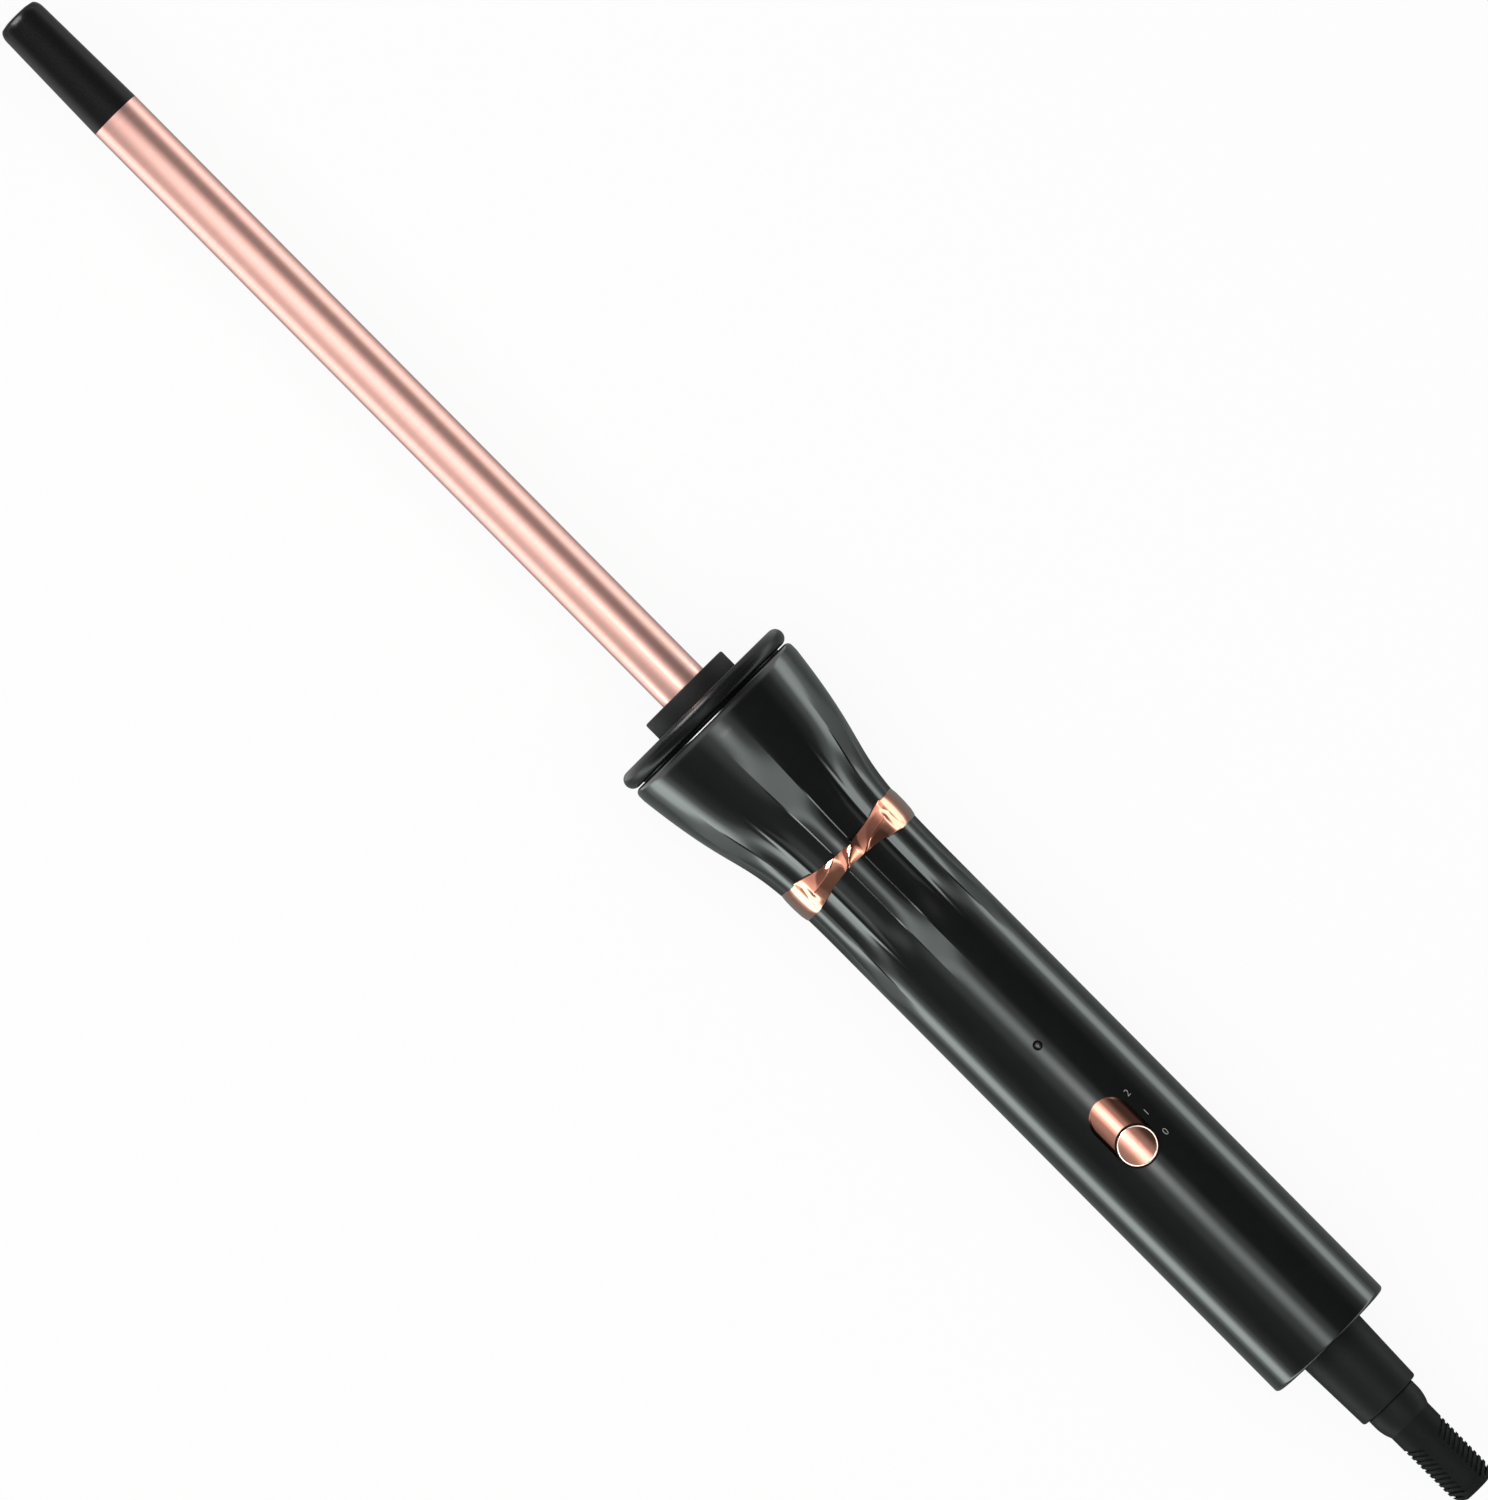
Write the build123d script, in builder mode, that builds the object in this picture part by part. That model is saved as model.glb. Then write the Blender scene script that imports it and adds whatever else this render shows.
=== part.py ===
from build123d import *
import math
import os

# A slim curling wand. The axis of the wand is X and +X points at the cool tip.
# +Z is the side with the switch. The origin is on the axis, at the front face of the collar.
# All sizes are in millimetres and all angles in degrees.

# Heated barrel and cool tip
barrel_diameter = 9.5
barrel_length = 136.8
barrel_wall = 0.7
barrel_shoulder = 0.25
barrel_foot_flare = 1.45
barrel_foot_thickness = 0.7
tip_length = 23.9
tip_taper = 0.4
tip_edge_length = 2.2
tip_edge_inset = 0.85
tip_edge_bulge = 3.2
tip_spigot_length = 12.0

# Heater inside the barrel
heater_width = 6.4
heater_thickness = 1.3
heater_end_gap = 3.0
heater_tail = 10.0
spreader_tail = 8.0

# Collar, guard disc and barrel holder
collar_diameter = 18.0
collar_length = 3.4
collar_bevel = 0.25
collar_spigot_diameter = 13.8
collar_spigot_length = 5.2
guard_diameter = 37.15
guard_thickness = 3.2
guard_rim_radius = 1.55
guard_spigot_length = 2.6
guard_spigot_wall = 1.6
holder_diameter = 14.0
holder_flange_diameter = 22.0
holder_flange_thickness = 3.0
holder_foot_setback = 30.0
web_thickness = 2.3
clamp_plate_diameter = 20.0
clamp_plate_thickness = 0.8
clamp_screw_diameter = 2.0
clamp_screw_head_diameter = 3.4
clamp_screw_head_height = 1.0
clamp_screw_length = 3.2

# Handle shells
handle_diameter = 25.2
handle_length = 149.1
handle_edge_radius = 1.0
shell_wall = 2.2
mouth_gap = 0.2
mouth_inset = 0.325
mouth_lip_length = 2.2
mouth_lip_radius = 1.5
horn_length = 43.2
horn_belly_reach = 23.0
horn_mouth_slope = 6.84
horn_neck_reach = 25.0
tail_block_length = 6.5

# Pleats that run from the horn under the band and fade out along the handle
pleats_per_half = 3
pleat_ridge_angle = 19.0
pleat_valley_depth = 0.4
pleat_hollow_depth = 0.6
pleat_rise_length = 24.0
pleat_fall_length = 29.0

# Band with its twisted front
band_setback = 33.1
band_width = 6.2
band_proud = 0.525
band_edge_radius = 0.2
band_waist = 3.25
band_flare = 0.3
twist_height = 1.1
twist_end_height = 0.2
twist_sink = 0.25
twist_turn = 270.0
twist_reach = 5.0
twist_end_reach = 9.4
twist_steps = 12

# Heat switch and indicator lamp
switch_setback = 46.9
knob_diameter = 7.2
knob_travel = 6.2
knob_height = 1.0
knob_edge_radius = 0.3
slot_margin = 0.25
slot_wall = 1.0
plate_thickness = 0.8
plate_width = 10.4
plate_cover = 1.05
pocket_end_gap = 0.3
peg_diameter = 3.0
peg_length = 1.3
fork_depth = 3.7
fork_wall = 1.2
fork_width = 4.0
fork_bridge = 0.6
switch_width = 6.5
switch_height = 4.8
switch_wall = 1.4
actuator_length = 3.0
actuator_width = 2.4
actuator_root = 2.0
lamp_setback = 70.8
lens_diameter = 1.7
lens_flange_diameter = 3.2
lens_flange_thickness = 0.8
lens_edge_radius = 0.3
led_diameter = 3.0
led_height = 5.0
led_dome_radius = 1.35
led_pin_diameter = 0.6
led_pin_spacing = 1.6

# Board and small electrical parts
board_width = 17.0
board_thickness = 1.6
board_setback = 30.0
board_back_reach = 22.1
board_screw_inset = 4.2
board_screw_diameter = 1.9
board_screw_head_diameter = 3.8
board_screw_head_height = 0.95
board_screw_length = 7.0
board_post_diameter = 5.2
resistor_diameter = 2.2
resistor_length = 6.2
resistor_edge_radius = 0.45
diode_diameter = 4.8
diode_length = 8.5
diode_edge_radius = 0.6
part_row_offset = 4.2
fuse_diameter = 3.4
fuse_length = 10.0
fuse_edge_radius = 0.55
fuse_setback = 6.5
lead_diameter = 1.6
lead_bend_radius = 2.5
lead_pair_spacing = 3.2
lead_margin = 0.45
lead_landing = 4.0

# Shell screws
boss_diameter = 6.5
boss_gap = 5.5
shell_screw_diameter = 2.5
shell_screw_head_diameter = 4.4
shell_screw_head_height = 1.6
shell_screw_reach = 6.0
shell_screw_seat = 8.0
screw_cross_width = 0.6

# Cord swivel
sleeve_base_diameter = 13.1
sleeve_end_diameter = 12.2
sleeve_length = 14.3
sleeve_edge_radius = 0.5
sleeve_flange_diameter = 17.0
sleeve_flange_thickness = 2.0
sleeve_flange_setback = 1.5
sleeve_front_reach = 1.0
core_diameter = 9.0
core_bore_diameter = 4.0
core_front_reach = 10.6
dome_diameter = 10.1
dome_length = 4.6
dome_straight = 1.4
core_spigot_diameter = 6.6
core_spigot_length = 5.0
ring_proud = 0.05
ring_sink = 0.5
ring_width = 2.2
ring_pitch = 4.2
ring_setback = 2.5
clip_diameter = 12.4
clip_sink = 0.8
clip_thickness = 0.8
clip_gap = 5.0
boot_length = 16.7
boot_front_diameter = 8.66
boot_end_diameter = 8.44
boot_end_radius = 3.0
cord_bore_diameter = 5.0
boot_slot_count = 11
boot_slot_pitch = 1.08
boot_slot_width = 0.5
boot_slot_depth = 0.7
boot_slot_setback = 2.6
boot_slot_lean = 35.0
boot_spine_width = 3.6
brush_holder_width = 13.2
brush_holder_length = 8.0
brush_holder_gap = 0.7
brush_leaf_thickness = 0.4
brush_leaf_width = 1.8
brush_leaf_rise = 1.5
brush_floor = 2.8

# Clearances
fit_clearance = 0.05
running_clearance = 0.05
assembly_clearance = 0.1
swivel_end_clearance = 0.2

# Radii and places along X that follow from the sizes above
barrel_radius = barrel_diameter / 2
barrel_seat_radius = barrel_radius - barrel_shoulder
barrel_foot_radius = barrel_radius + barrel_foot_flare
barrel_bore_radius = barrel_radius - barrel_wall
tip_shoulder_radius = barrel_radius - tip_taper
tip_face_radius = tip_shoulder_radius - tip_edge_inset
handle_radius = handle_diameter / 2
band_radius = handle_radius + band_proud
mouth_radius = guard_diameter / 2 - mouth_inset
cavity_radius = handle_radius - shell_wall
mid_wall_radius = handle_radius - shell_wall / 2
mouth_bore_radius = mouth_radius - shell_wall
collar_back_x = -collar_length
guard_back_x = collar_back_x - guard_thickness
mouth_x = guard_back_x - mouth_gap
lip_back_x = mouth_x - mouth_lip_length
neck_x = mouth_x - horn_length
band_x = mouth_x - band_setback
pleat_start_x = band_x + pleat_rise_length
pleat_end_x = band_x - pleat_fall_length
handle_end_x = mouth_x - handle_length
tail_block_x = handle_end_x + tail_block_length
holder_foot_x = -holder_foot_setback
holder_front_x = collar_back_x - collar_spigot_length - assembly_clearance
heater_front_x = barrel_length - tip_spigot_length - heater_end_gap
knob_x = handle_end_x + switch_setback
switch_x = knob_x + knob_travel / 2
lamp_x = handle_end_x + lamp_setback
board_front_x = holder_foot_x - board_setback
board_back_x = switch_x - board_back_reach
front_boss_x = board_front_x + boss_gap + assembly_clearance
back_boss_x = board_back_x - boss_gap
core_radius = core_diameter / 2
ring_radius = core_radius + ring_proud
ring_seat_radius = core_radius - ring_sink
clip_seat_radius = core_radius - clip_sink
sleeve_front_x = tail_block_x + sleeve_front_reach
sleeve_end_x = handle_end_x - sleeve_length
dome_x = sleeve_end_x - swivel_end_clearance
boot_x = dome_x - dome_length
boot_end_x = boot_x - boot_length
clip_x = sleeve_front_x + swivel_end_clearance
core_front_x = sleeve_front_x + core_front_reach
rear_ring_x = clip_x + clip_thickness + ring_setback
front_ring_x = rear_ring_x + ring_pitch

# Heights of the switch stack, from the slot down to the board
slot_width = knob_diameter + 2 * slot_margin
plate_reach = knob_travel + slot_width / 2 + plate_cover
pocket_radius = handle_radius - slot_wall
plate_radius = pocket_radius - assembly_clearance
plate_inner_radius = plate_radius - plate_thickness
fork_bottom_z = plate_inner_radius - fork_depth
switch_length = knob_travel + actuator_length + 2 * (assembly_clearance + switch_wall)
part_row_x = (lamp_x + switch_x + switch_length / 2) / 2
switch_top_z = fork_bottom_z - 2 * assembly_clearance
board_top_z = switch_top_z - switch_height
board_bottom_z = board_top_z - board_thickness
lead_on_board_z = board_top_z + lead_diameter / 2 + fit_clearance
lead_offset = (boss_diameter + lead_diameter) / 2 + lead_margin

# Places of the screws, and of the sections of the twisted bar with their turn
boss_places = ((front_boss_x, 0), (back_boss_x, 0))
board_screw_places = ((board_front_x - board_screw_inset, 0), (board_back_x + board_screw_inset, 0))
twist_radius = band_radius - twist_sink
twist_places = [(twist_end_reach, 0)]
for step in range(twist_steps + 1):
    twist_share = step / twist_steps
    twist_place = twist_reach * math.asin(1 - 2 * twist_share) * 2 / math.pi
    twist_places.append((twist_place, twist_turn * twist_share))
twist_places.append((-twist_end_reach, twist_turn))


def around(angle, radius):
    """Return a point of a cross-section: 0 degrees is at the top, on the switch side."""
    return (radius * math.sin(math.radians(angle)), radius * math.cos(math.radians(angle)))


def horn_controls(inset):
    """Return the four control points of the horn's curve, moved in towards the axis by inset."""
    belly_drop = horn_belly_reach * math.tan(math.radians(horn_mouth_slope))
    return (
        (lip_back_x, mouth_radius - inset),
        (lip_back_x - horn_belly_reach, mouth_radius - belly_drop - inset),
        (neck_x + horn_neck_reach, handle_radius - inset),
        (neck_x, handle_radius - inset),
    )


def pleat_fade(x):
    """Return how deep the pleats are at x, from 0 where they fade out to 1 at the band."""
    if x > band_x:
        share = (pleat_start_x - x) / (pleat_rise_length - band_width / 2)
    else:
        share = (x - pleat_end_x) / (pleat_fall_length - band_width / 2)
    share = min(max(share, 0), 1)
    return share * share * (3 - 2 * share)


def draw_pleated_half(radius, fade):
    """Draw the upper half of a cross-section: in each pleat a round ridge between two hollows."""
    pleat_angle = 180 / pleats_per_half
    valley = radius - pleat_valley_depth * fade
    hollow = radius - pleat_hollow_depth * fade
    for pleat in range(pleats_per_half):
        middle = pleat_angle * (pleat + 0.5) - 90
        left = middle - pleat_angle / 2
        right = middle + pleat_angle / 2
        ridge_left = middle - pleat_ridge_angle / 2
        ridge_right = middle + pleat_ridge_angle / 2
        ThreePointArc(
            around(left, radius), around((left + ridge_left) / 2, hollow), around(ridge_left, valley)
        )
        ThreePointArc(around(ridge_left, valley), around(middle, radius), around(ridge_right, valley))
        ThreePointArc(
            around(ridge_right, valley), around((right + ridge_right) / 2, hollow), around(right, radius)
        )
    Line(around(90, radius), around(-90, radius))


def draw_pinch(gap):
    """Draw one waist cut of the band, between its straight edge and the curve of the ribbon."""
    edge = band_width / 2
    reach = math.sqrt(edge**2 - (band_waist / 2) ** 2) / band_flare
    shares = (-1, -0.6, -0.25, 0, 0.25, 0.6, 1)
    Spline(
        *[(math.hypot(band_waist / 2, band_flare * reach * share) + gap, reach * share) for share in shares]
    )
    Line((edge + gap, reach), (edge + gap, -reach))


def sweep_leads(*routes):
    """Sweep a round wire with rounded bends along each route."""
    for route in routes:
        with BuildLine() as path:
            FilletPolyline(*route, radius=lead_bend_radius)
        with BuildSketch(Plane(path.line @ 0, z_dir=path.line % 0)) as section:
            Circle(lead_diameter / 2)
        sweep(section.sketch, path=path.line)


# Cool tip: tapered cap with a rounded end and a spigot in the barrel
with BuildPart() as cool_tip:
    with BuildSketch(Plane.XZ):
        with BuildLine():
            tip_end_x = barrel_length + tip_length
            Polyline(
                (tip_end_x, 0),
                (barrel_length - tip_spigot_length, 0),
                (barrel_length - tip_spigot_length, barrel_bore_radius - fit_clearance),
                (barrel_length, barrel_bore_radius - fit_clearance),
                (barrel_length, barrel_radius),
                (tip_end_x - tip_edge_length, tip_shoulder_radius),
            )
            RadiusArc(
                (tip_end_x - tip_edge_length, tip_shoulder_radius),
                (tip_end_x, tip_face_radius),
                tip_edge_bulge,
            )
            Line((tip_end_x, tip_face_radius), (tip_end_x, 0))
        make_face()
    revolve(axis=Axis.X)

# Barrel: thin tube with a shoulder against the collar and a flared foot in the holder
with BuildPart() as barrel:
    with BuildSketch(Plane.XZ):
        with BuildLine():
            Polyline(
                (barrel_length, barrel_bore_radius),
                (barrel_length, barrel_radius),
                (0, barrel_radius),
                (0, barrel_seat_radius),
                (holder_foot_x + barrel_foot_thickness, barrel_seat_radius),
                (holder_foot_x + barrel_foot_thickness, barrel_foot_radius),
                (holder_foot_x, barrel_foot_radius),
                (holder_foot_x, barrel_bore_radius),
                close=True,
            )
        make_face()
    revolve(axis=Axis.X)

# Heater: flat ceramic plate pressed between two half-round bars
with BuildPart() as heater_plate:
    with BuildSketch(Plane.YZ.offset(-heater_tail)):
        Rectangle(heater_width, heater_thickness)
    extrude(amount=heater_front_x + heater_tail)

with BuildPart() as upper_heat_spreader:
    with BuildSketch(Plane.YZ.offset(-spreader_tail)):
        Circle(barrel_bore_radius - fit_clearance)
        with Locations((0, heater_thickness / 2 + fit_clearance)):
            Rectangle(barrel_diameter, barrel_diameter, align=(Align.CENTER, Align.MIN), mode=Mode.INTERSECT)
    extrude(amount=heater_front_x + spreader_tail)

with BuildPart() as lower_heat_spreader:
    add(mirror(upper_heat_spreader.part, about=Plane.XY, mode=Mode.PRIVATE))

# Collar: flat ring with a spigot through the guard disc
with BuildPart() as barrel_collar:
    with BuildSketch(Plane.XZ):
        with BuildLine():
            Polyline(
                (0, barrel_seat_radius + fit_clearance),
                (0, collar_diameter / 2 - collar_bevel),
                (-collar_bevel, collar_diameter / 2),
                (collar_back_x, collar_diameter / 2),
                (collar_back_x, collar_spigot_diameter / 2),
                (collar_back_x - collar_spigot_length, collar_spigot_diameter / 2),
                (collar_back_x - collar_spigot_length, barrel_seat_radius + fit_clearance),
                close=True,
            )
        make_face()
    revolve(axis=Axis.X)

# Guard disc: round-rimmed disc with a ring that centres it in the horn's mouth
with BuildPart() as guard_disc:
    with BuildSketch(Plane.YZ.offset(collar_back_x)):
        Circle(guard_diameter / 2)
    extrude(amount=-guard_thickness)
    fillet(guard_disc.edges().filter_by(GeomType.CIRCLE), radius=guard_rim_radius)
    with BuildSketch(Plane.YZ.offset(guard_back_x)):
        Circle(mouth_bore_radius - assembly_clearance)
        Circle(mouth_bore_radius - assembly_clearance - guard_spigot_wall, mode=Mode.SUBTRACT)
    extrude(amount=-guard_spigot_length)
    with BuildSketch(Plane.YZ.offset(collar_back_x)):
        Circle(collar_spigot_diameter / 2 + fit_clearance)
    extrude(amount=-guard_thickness, mode=Mode.SUBTRACT)

# Barrel holder: heat-proof bush whose flange is caught between two webs of the shells
screw_circle = (holder_diameter + clamp_plate_diameter) / 4
with BuildPart() as barrel_holder:
    with BuildSketch(Plane.XZ):
        with BuildLine():
            Polyline(
                (holder_front_x, barrel_seat_radius + fit_clearance),
                (holder_front_x, holder_diameter / 2),
                (holder_foot_x + holder_flange_thickness, holder_diameter / 2),
                (holder_foot_x + holder_flange_thickness, holder_flange_diameter / 2),
                (holder_foot_x, holder_flange_diameter / 2),
                (holder_foot_x, barrel_foot_radius + fit_clearance),
                (holder_foot_x + barrel_foot_thickness, barrel_foot_radius + fit_clearance),
                (holder_foot_x + barrel_foot_thickness, barrel_seat_radius + fit_clearance),
                close=True,
            )
        make_face()
    revolve(axis=Axis.X)
    with BuildSketch(Plane.YZ.offset(holder_foot_x)):
        with Locations((screw_circle, 0), (-screw_circle, 0)):
            Circle(clamp_screw_diameter / 2 + fit_clearance)
    extrude(amount=clamp_screw_length - clamp_plate_thickness, mode=Mode.SUBTRACT)

# Clamp plate: washer that keeps the barrel's foot in the holder
with BuildPart() as clamp_plate:
    with BuildSketch(Plane.YZ.offset(holder_foot_x)):
        Circle(clamp_plate_diameter / 2)
        Circle(barrel_bore_radius, mode=Mode.SUBTRACT)
        with Locations((screw_circle, 0), (-screw_circle, 0)):
            Circle(clamp_screw_diameter / 2 + fit_clearance, mode=Mode.SUBTRACT)
    extrude(amount=-clamp_plate_thickness)

with BuildPart() as clamp_screws:
    with BuildSketch(Plane.YZ.offset(holder_foot_x - clamp_plate_thickness)):
        with Locations((screw_circle, 0), (-screw_circle, 0)):
            Circle(clamp_screw_diameter / 2)
    extrude(amount=clamp_screw_length - assembly_clearance)
    with BuildSketch(Plane.YZ.offset(holder_foot_x - clamp_plate_thickness)):
        with Locations((screw_circle, 0), (-screw_circle, 0)):
            Circle(clamp_screw_head_diameter / 2)
    extrude(amount=-clamp_screw_head_height)

# Outer form of one half of the handle: rounded lip, pleated horn and plain round tail
with BuildLine(mode=Mode.PRIVATE) as horn_curve:
    Bezier(*horn_controls(0))
horn_steps = 9
fade_steps = 3
with BuildPart() as handle_form:
    with BuildSketch(Plane.YZ.offset(lip_back_x)):
        Circle(mouth_radius)
    extrude(amount=mouth_lip_length)
    fillet(handle_form.edges().group_by(Axis.X)[-1], radius=mouth_lip_radius)
    with BuildSketch(Plane.YZ.offset(pleat_end_x)):
        Circle(handle_radius)
    extrude(amount=handle_end_x - pleat_end_x)
    fillet(handle_form.edges().group_by(Axis.X)[0], radius=handle_edge_radius)
    split(bisect_by=Plane.XY, keep=Keep.TOP)
    for step in range(horn_steps + 1):
        station = horn_curve.line @ (step / horn_steps)
        with BuildSketch(Plane.YZ.offset(station.X)):
            with BuildLine():
                draw_pleated_half(station.Y, pleat_fade(station.X))
            make_face()
    for step in range(fade_steps):
        station_x = neck_x + (pleat_end_x - neck_x) * (step + 1) / fade_steps
        with BuildSketch(Plane.YZ.offset(station_x)):
            with BuildLine():
                draw_pleated_half(handle_radius, pleat_fade(station_x))
            make_face()
    loft()

# Hollow of the handle: the webs that hold the barrel holder are left standing in it
web_front_x = holder_foot_x + holder_flange_thickness + assembly_clearance
web_back_x = holder_foot_x - assembly_clearance
web_back_bore = (clamp_plate_diameter + holder_flange_diameter) / 4 - assembly_clearance
with BuildPart() as handle_hollow:
    with BuildSketch(Plane.XZ):
        with BuildLine():
            Polyline((lip_back_x, mouth_bore_radius), (mouth_x, mouth_bore_radius), (mouth_x, 0))
            Polyline((mouth_x, 0), (tail_block_x, 0), (tail_block_x, cavity_radius), (neck_x, cavity_radius))
            Bezier(*horn_controls(shell_wall))
        make_face()
    revolve(axis=Axis.X)
    with BuildSketch(Plane.YZ.offset(web_front_x)):
        Circle(mouth_radius)
        Circle(holder_diameter / 2 + assembly_clearance, mode=Mode.SUBTRACT)
    extrude(amount=web_thickness, mode=Mode.SUBTRACT)
    with BuildSketch(Plane.YZ.offset(web_back_x)):
        Circle(mouth_radius)
        Circle(web_back_bore, mode=Mode.SUBTRACT)
    extrude(amount=-web_thickness, mode=Mode.SUBTRACT)
    with BuildSketch(Plane.YZ.offset(tail_block_x)):
        Circle(sleeve_base_diameter / 2 + fit_clearance)
    extrude(amount=handle_end_x - tail_block_x)
    with BuildSketch(Plane.YZ.offset(tail_block_x - sleeve_flange_setback + fit_clearance)):
        Circle(sleeve_flange_diameter / 2 + fit_clearance)
    extrude(amount=-sleeve_flange_thickness - 2 * fit_clearance)

# Seat of the band: a ring-shaped step round the neck, pinched in at the front like the band
with BuildPart() as band_seat:
    with BuildSketch(Plane.YZ.offset(band_x - band_width / 2 - fit_clearance)):
        Circle(mouth_radius)
        Circle(handle_radius, mode=Mode.SUBTRACT)
    extrude(amount=band_width + 2 * fit_clearance)

with BuildPart() as pinched_band_seat:
    add(band_seat.part)
    with BuildSketch(Plane((band_x, 0, 0))):
        with BuildLine():
            draw_pinch(fit_clearance)
        make_face()
        mirror(about=Plane.YZ)
    extrude(amount=mouth_radius, mode=Mode.SUBTRACT)

# Upper shell: switch slot, plate pocket, lamp hole and blind screw bosses
with BuildPart() as upper_shell:
    add(handle_form.part)
    add(handle_hollow.part, mode=Mode.SUBTRACT)
    add(pinched_band_seat.part, mode=Mode.SUBTRACT)
    with BuildSketch(Plane.XY):
        with Locations(*boss_places):
            Circle(boss_diameter / 2)
    extrude(amount=mid_wall_radius)
    with BuildSketch(Plane.XY):
        with Locations(*boss_places):
            Circle(shell_screw_diameter / 2 + fit_clearance)
    extrude(amount=shell_screw_reach + assembly_clearance, mode=Mode.SUBTRACT)
    with BuildSketch(Plane.XY):
        with Locations((switch_x, 0)):
            SlotCenterToCenter(knob_travel, slot_width)
        with Locations((lamp_x, 0)):
            Circle(lens_diameter / 2 + fit_clearance)
    extrude(amount=handle_diameter, mode=Mode.SUBTRACT)
    with BuildSketch(Plane.YZ.offset(knob_x - plate_reach - pocket_end_gap)):
        Circle(pocket_radius)
        Rectangle(
            plate_width + 2 * assembly_clearance,
            handle_diameter,
            align=(Align.CENTER, Align.MIN),
            mode=Mode.INTERSECT,
        )
    extrude(amount=2 * (plate_reach + pocket_end_gap) + knob_travel, mode=Mode.SUBTRACT)

# Lower shell: counterbored screw bosses and posts for the board
with BuildPart() as lower_shell:
    add(mirror(handle_form.part, about=Plane.XY, mode=Mode.PRIVATE))
    add(handle_hollow.part, mode=Mode.SUBTRACT)
    add(band_seat.part, mode=Mode.SUBTRACT)
    with BuildSketch(Plane.XY):
        with Locations(*boss_places):
            Circle(boss_diameter / 2)
    extrude(amount=-mid_wall_radius)
    with BuildSketch(Plane.XY.offset(board_bottom_z)):
        with Locations(*board_screw_places):
            Circle(board_post_diameter / 2)
    extrude(amount=-mid_wall_radius - board_bottom_z)
    with BuildSketch(Plane.XY):
        with Locations(*boss_places):
            Circle(shell_screw_diameter / 2 + assembly_clearance)
    extrude(amount=-handle_diameter, mode=Mode.SUBTRACT)
    with BuildSketch(Plane.XY.offset(-shell_screw_seat)):
        with Locations(*boss_places):
            Circle(shell_screw_head_diameter / 2 + assembly_clearance)
    extrude(amount=-handle_radius, mode=Mode.SUBTRACT)
    with BuildSketch(Plane.XY.offset(board_bottom_z)):
        with Locations(*board_screw_places):
            Circle(board_screw_diameter / 2 + fit_clearance)
    extrude(amount=-board_screw_length, mode=Mode.SUBTRACT)

# Shell screws: cross-headed, driven from the hidden side
with BuildPart() as shell_screws:
    with BuildSketch(Plane.XY.offset(-shell_screw_seat)):
        with Locations(*boss_places):
            Circle(shell_screw_diameter / 2)
    extrude(amount=shell_screw_seat + shell_screw_reach)
    with BuildSketch(Plane.XY.offset(-shell_screw_seat)):
        with Locations(*boss_places):
            Circle(shell_screw_head_diameter / 2)
    extrude(amount=-shell_screw_head_height)
    with BuildSketch(Plane.XY.offset(-shell_screw_seat - shell_screw_head_height)):
        with Locations(*boss_places):
            Rectangle(shell_screw_diameter, screw_cross_width)
            Rectangle(screw_cross_width, shell_screw_diameter)
    extrude(amount=shell_screw_head_height / 2, mode=Mode.SUBTRACT)

# Twist band: ring with a waist at the front, and a four-edged bar twisted across the waist
with BuildPart() as twist_band:
    with BuildSketch(Plane.YZ.offset(band_x - band_width / 2)):
        Circle(band_radius)
    extrude(amount=band_width)
    fillet(twist_band.edges().filter_by(GeomType.CIRCLE), radius=band_edge_radius)
    with BuildSketch(Plane((band_x, 0, 0))):
        with BuildLine():
            draw_pinch(0)
        make_face()
        mirror(about=Plane.YZ)
    extrude(amount=handle_diameter, mode=Mode.SUBTRACT)
    for place, turn in twist_places:
        half_width = math.hypot(band_waist / 2, band_flare * place) - band_edge_radius
        swell = math.cos(math.pi / 2 * place / twist_end_reach) ** 2
        half_height = twist_end_height + (twist_height - twist_end_height) * swell
        lean = -math.degrees(math.asin(place / twist_radius))
        across = Plane((band_x, *around(lean, twist_radius)), (-1, 0, 0), (0, *around(lean + 90, 1)))
        with BuildSketch(across):
            with BuildLine():
                Polyline(
                    *[
                        (
                            half_width * math.cos(math.radians(corner - turn)),
                            half_height * math.sin(math.radians(corner - turn)),
                        )
                        for corner in (0, 90, 180, 270)
                    ],
                    close=True,
                )
            make_face()
    loft(ruled=True)
    with BuildSketch(Plane.YZ.offset(band_x - band_width)):
        Circle(handle_radius + fit_clearance)
    extrude(amount=2 * band_width, mode=Mode.SUBTRACT)

# Slider: curved plate that always covers the slot, a peg for the knob and a fork for the switch
with BuildPart() as slider_plate:
    with BuildSketch(Plane.YZ.offset(knob_x - plate_reach)):
        Circle(plate_radius)
        Circle(plate_inner_radius, mode=Mode.SUBTRACT)
        Rectangle(plate_width, handle_diameter, align=(Align.CENTER, Align.MIN), mode=Mode.INTERSECT)
    extrude(amount=2 * plate_reach)
    with BuildSketch(Plane.XZ):
        with Locations((knob_x, fork_bottom_z)):
            Rectangle(
                actuator_length + 2 * (assembly_clearance + fork_wall),
                fork_depth + plate_thickness / 2,
                align=(Align.CENTER, Align.MIN),
            )
            Rectangle(
                actuator_length + 2 * assembly_clearance,
                fork_depth - fork_bridge,
                align=(Align.CENTER, Align.MIN),
                mode=Mode.SUBTRACT,
            )
    extrude(amount=fork_width / 2, both=True)
    with BuildSketch(Plane.XY.offset(plate_inner_radius)):
        with Locations((knob_x, 0)):
            Circle(peg_diameter / 2)
    extrude(amount=plate_thickness + peg_length)

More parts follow.
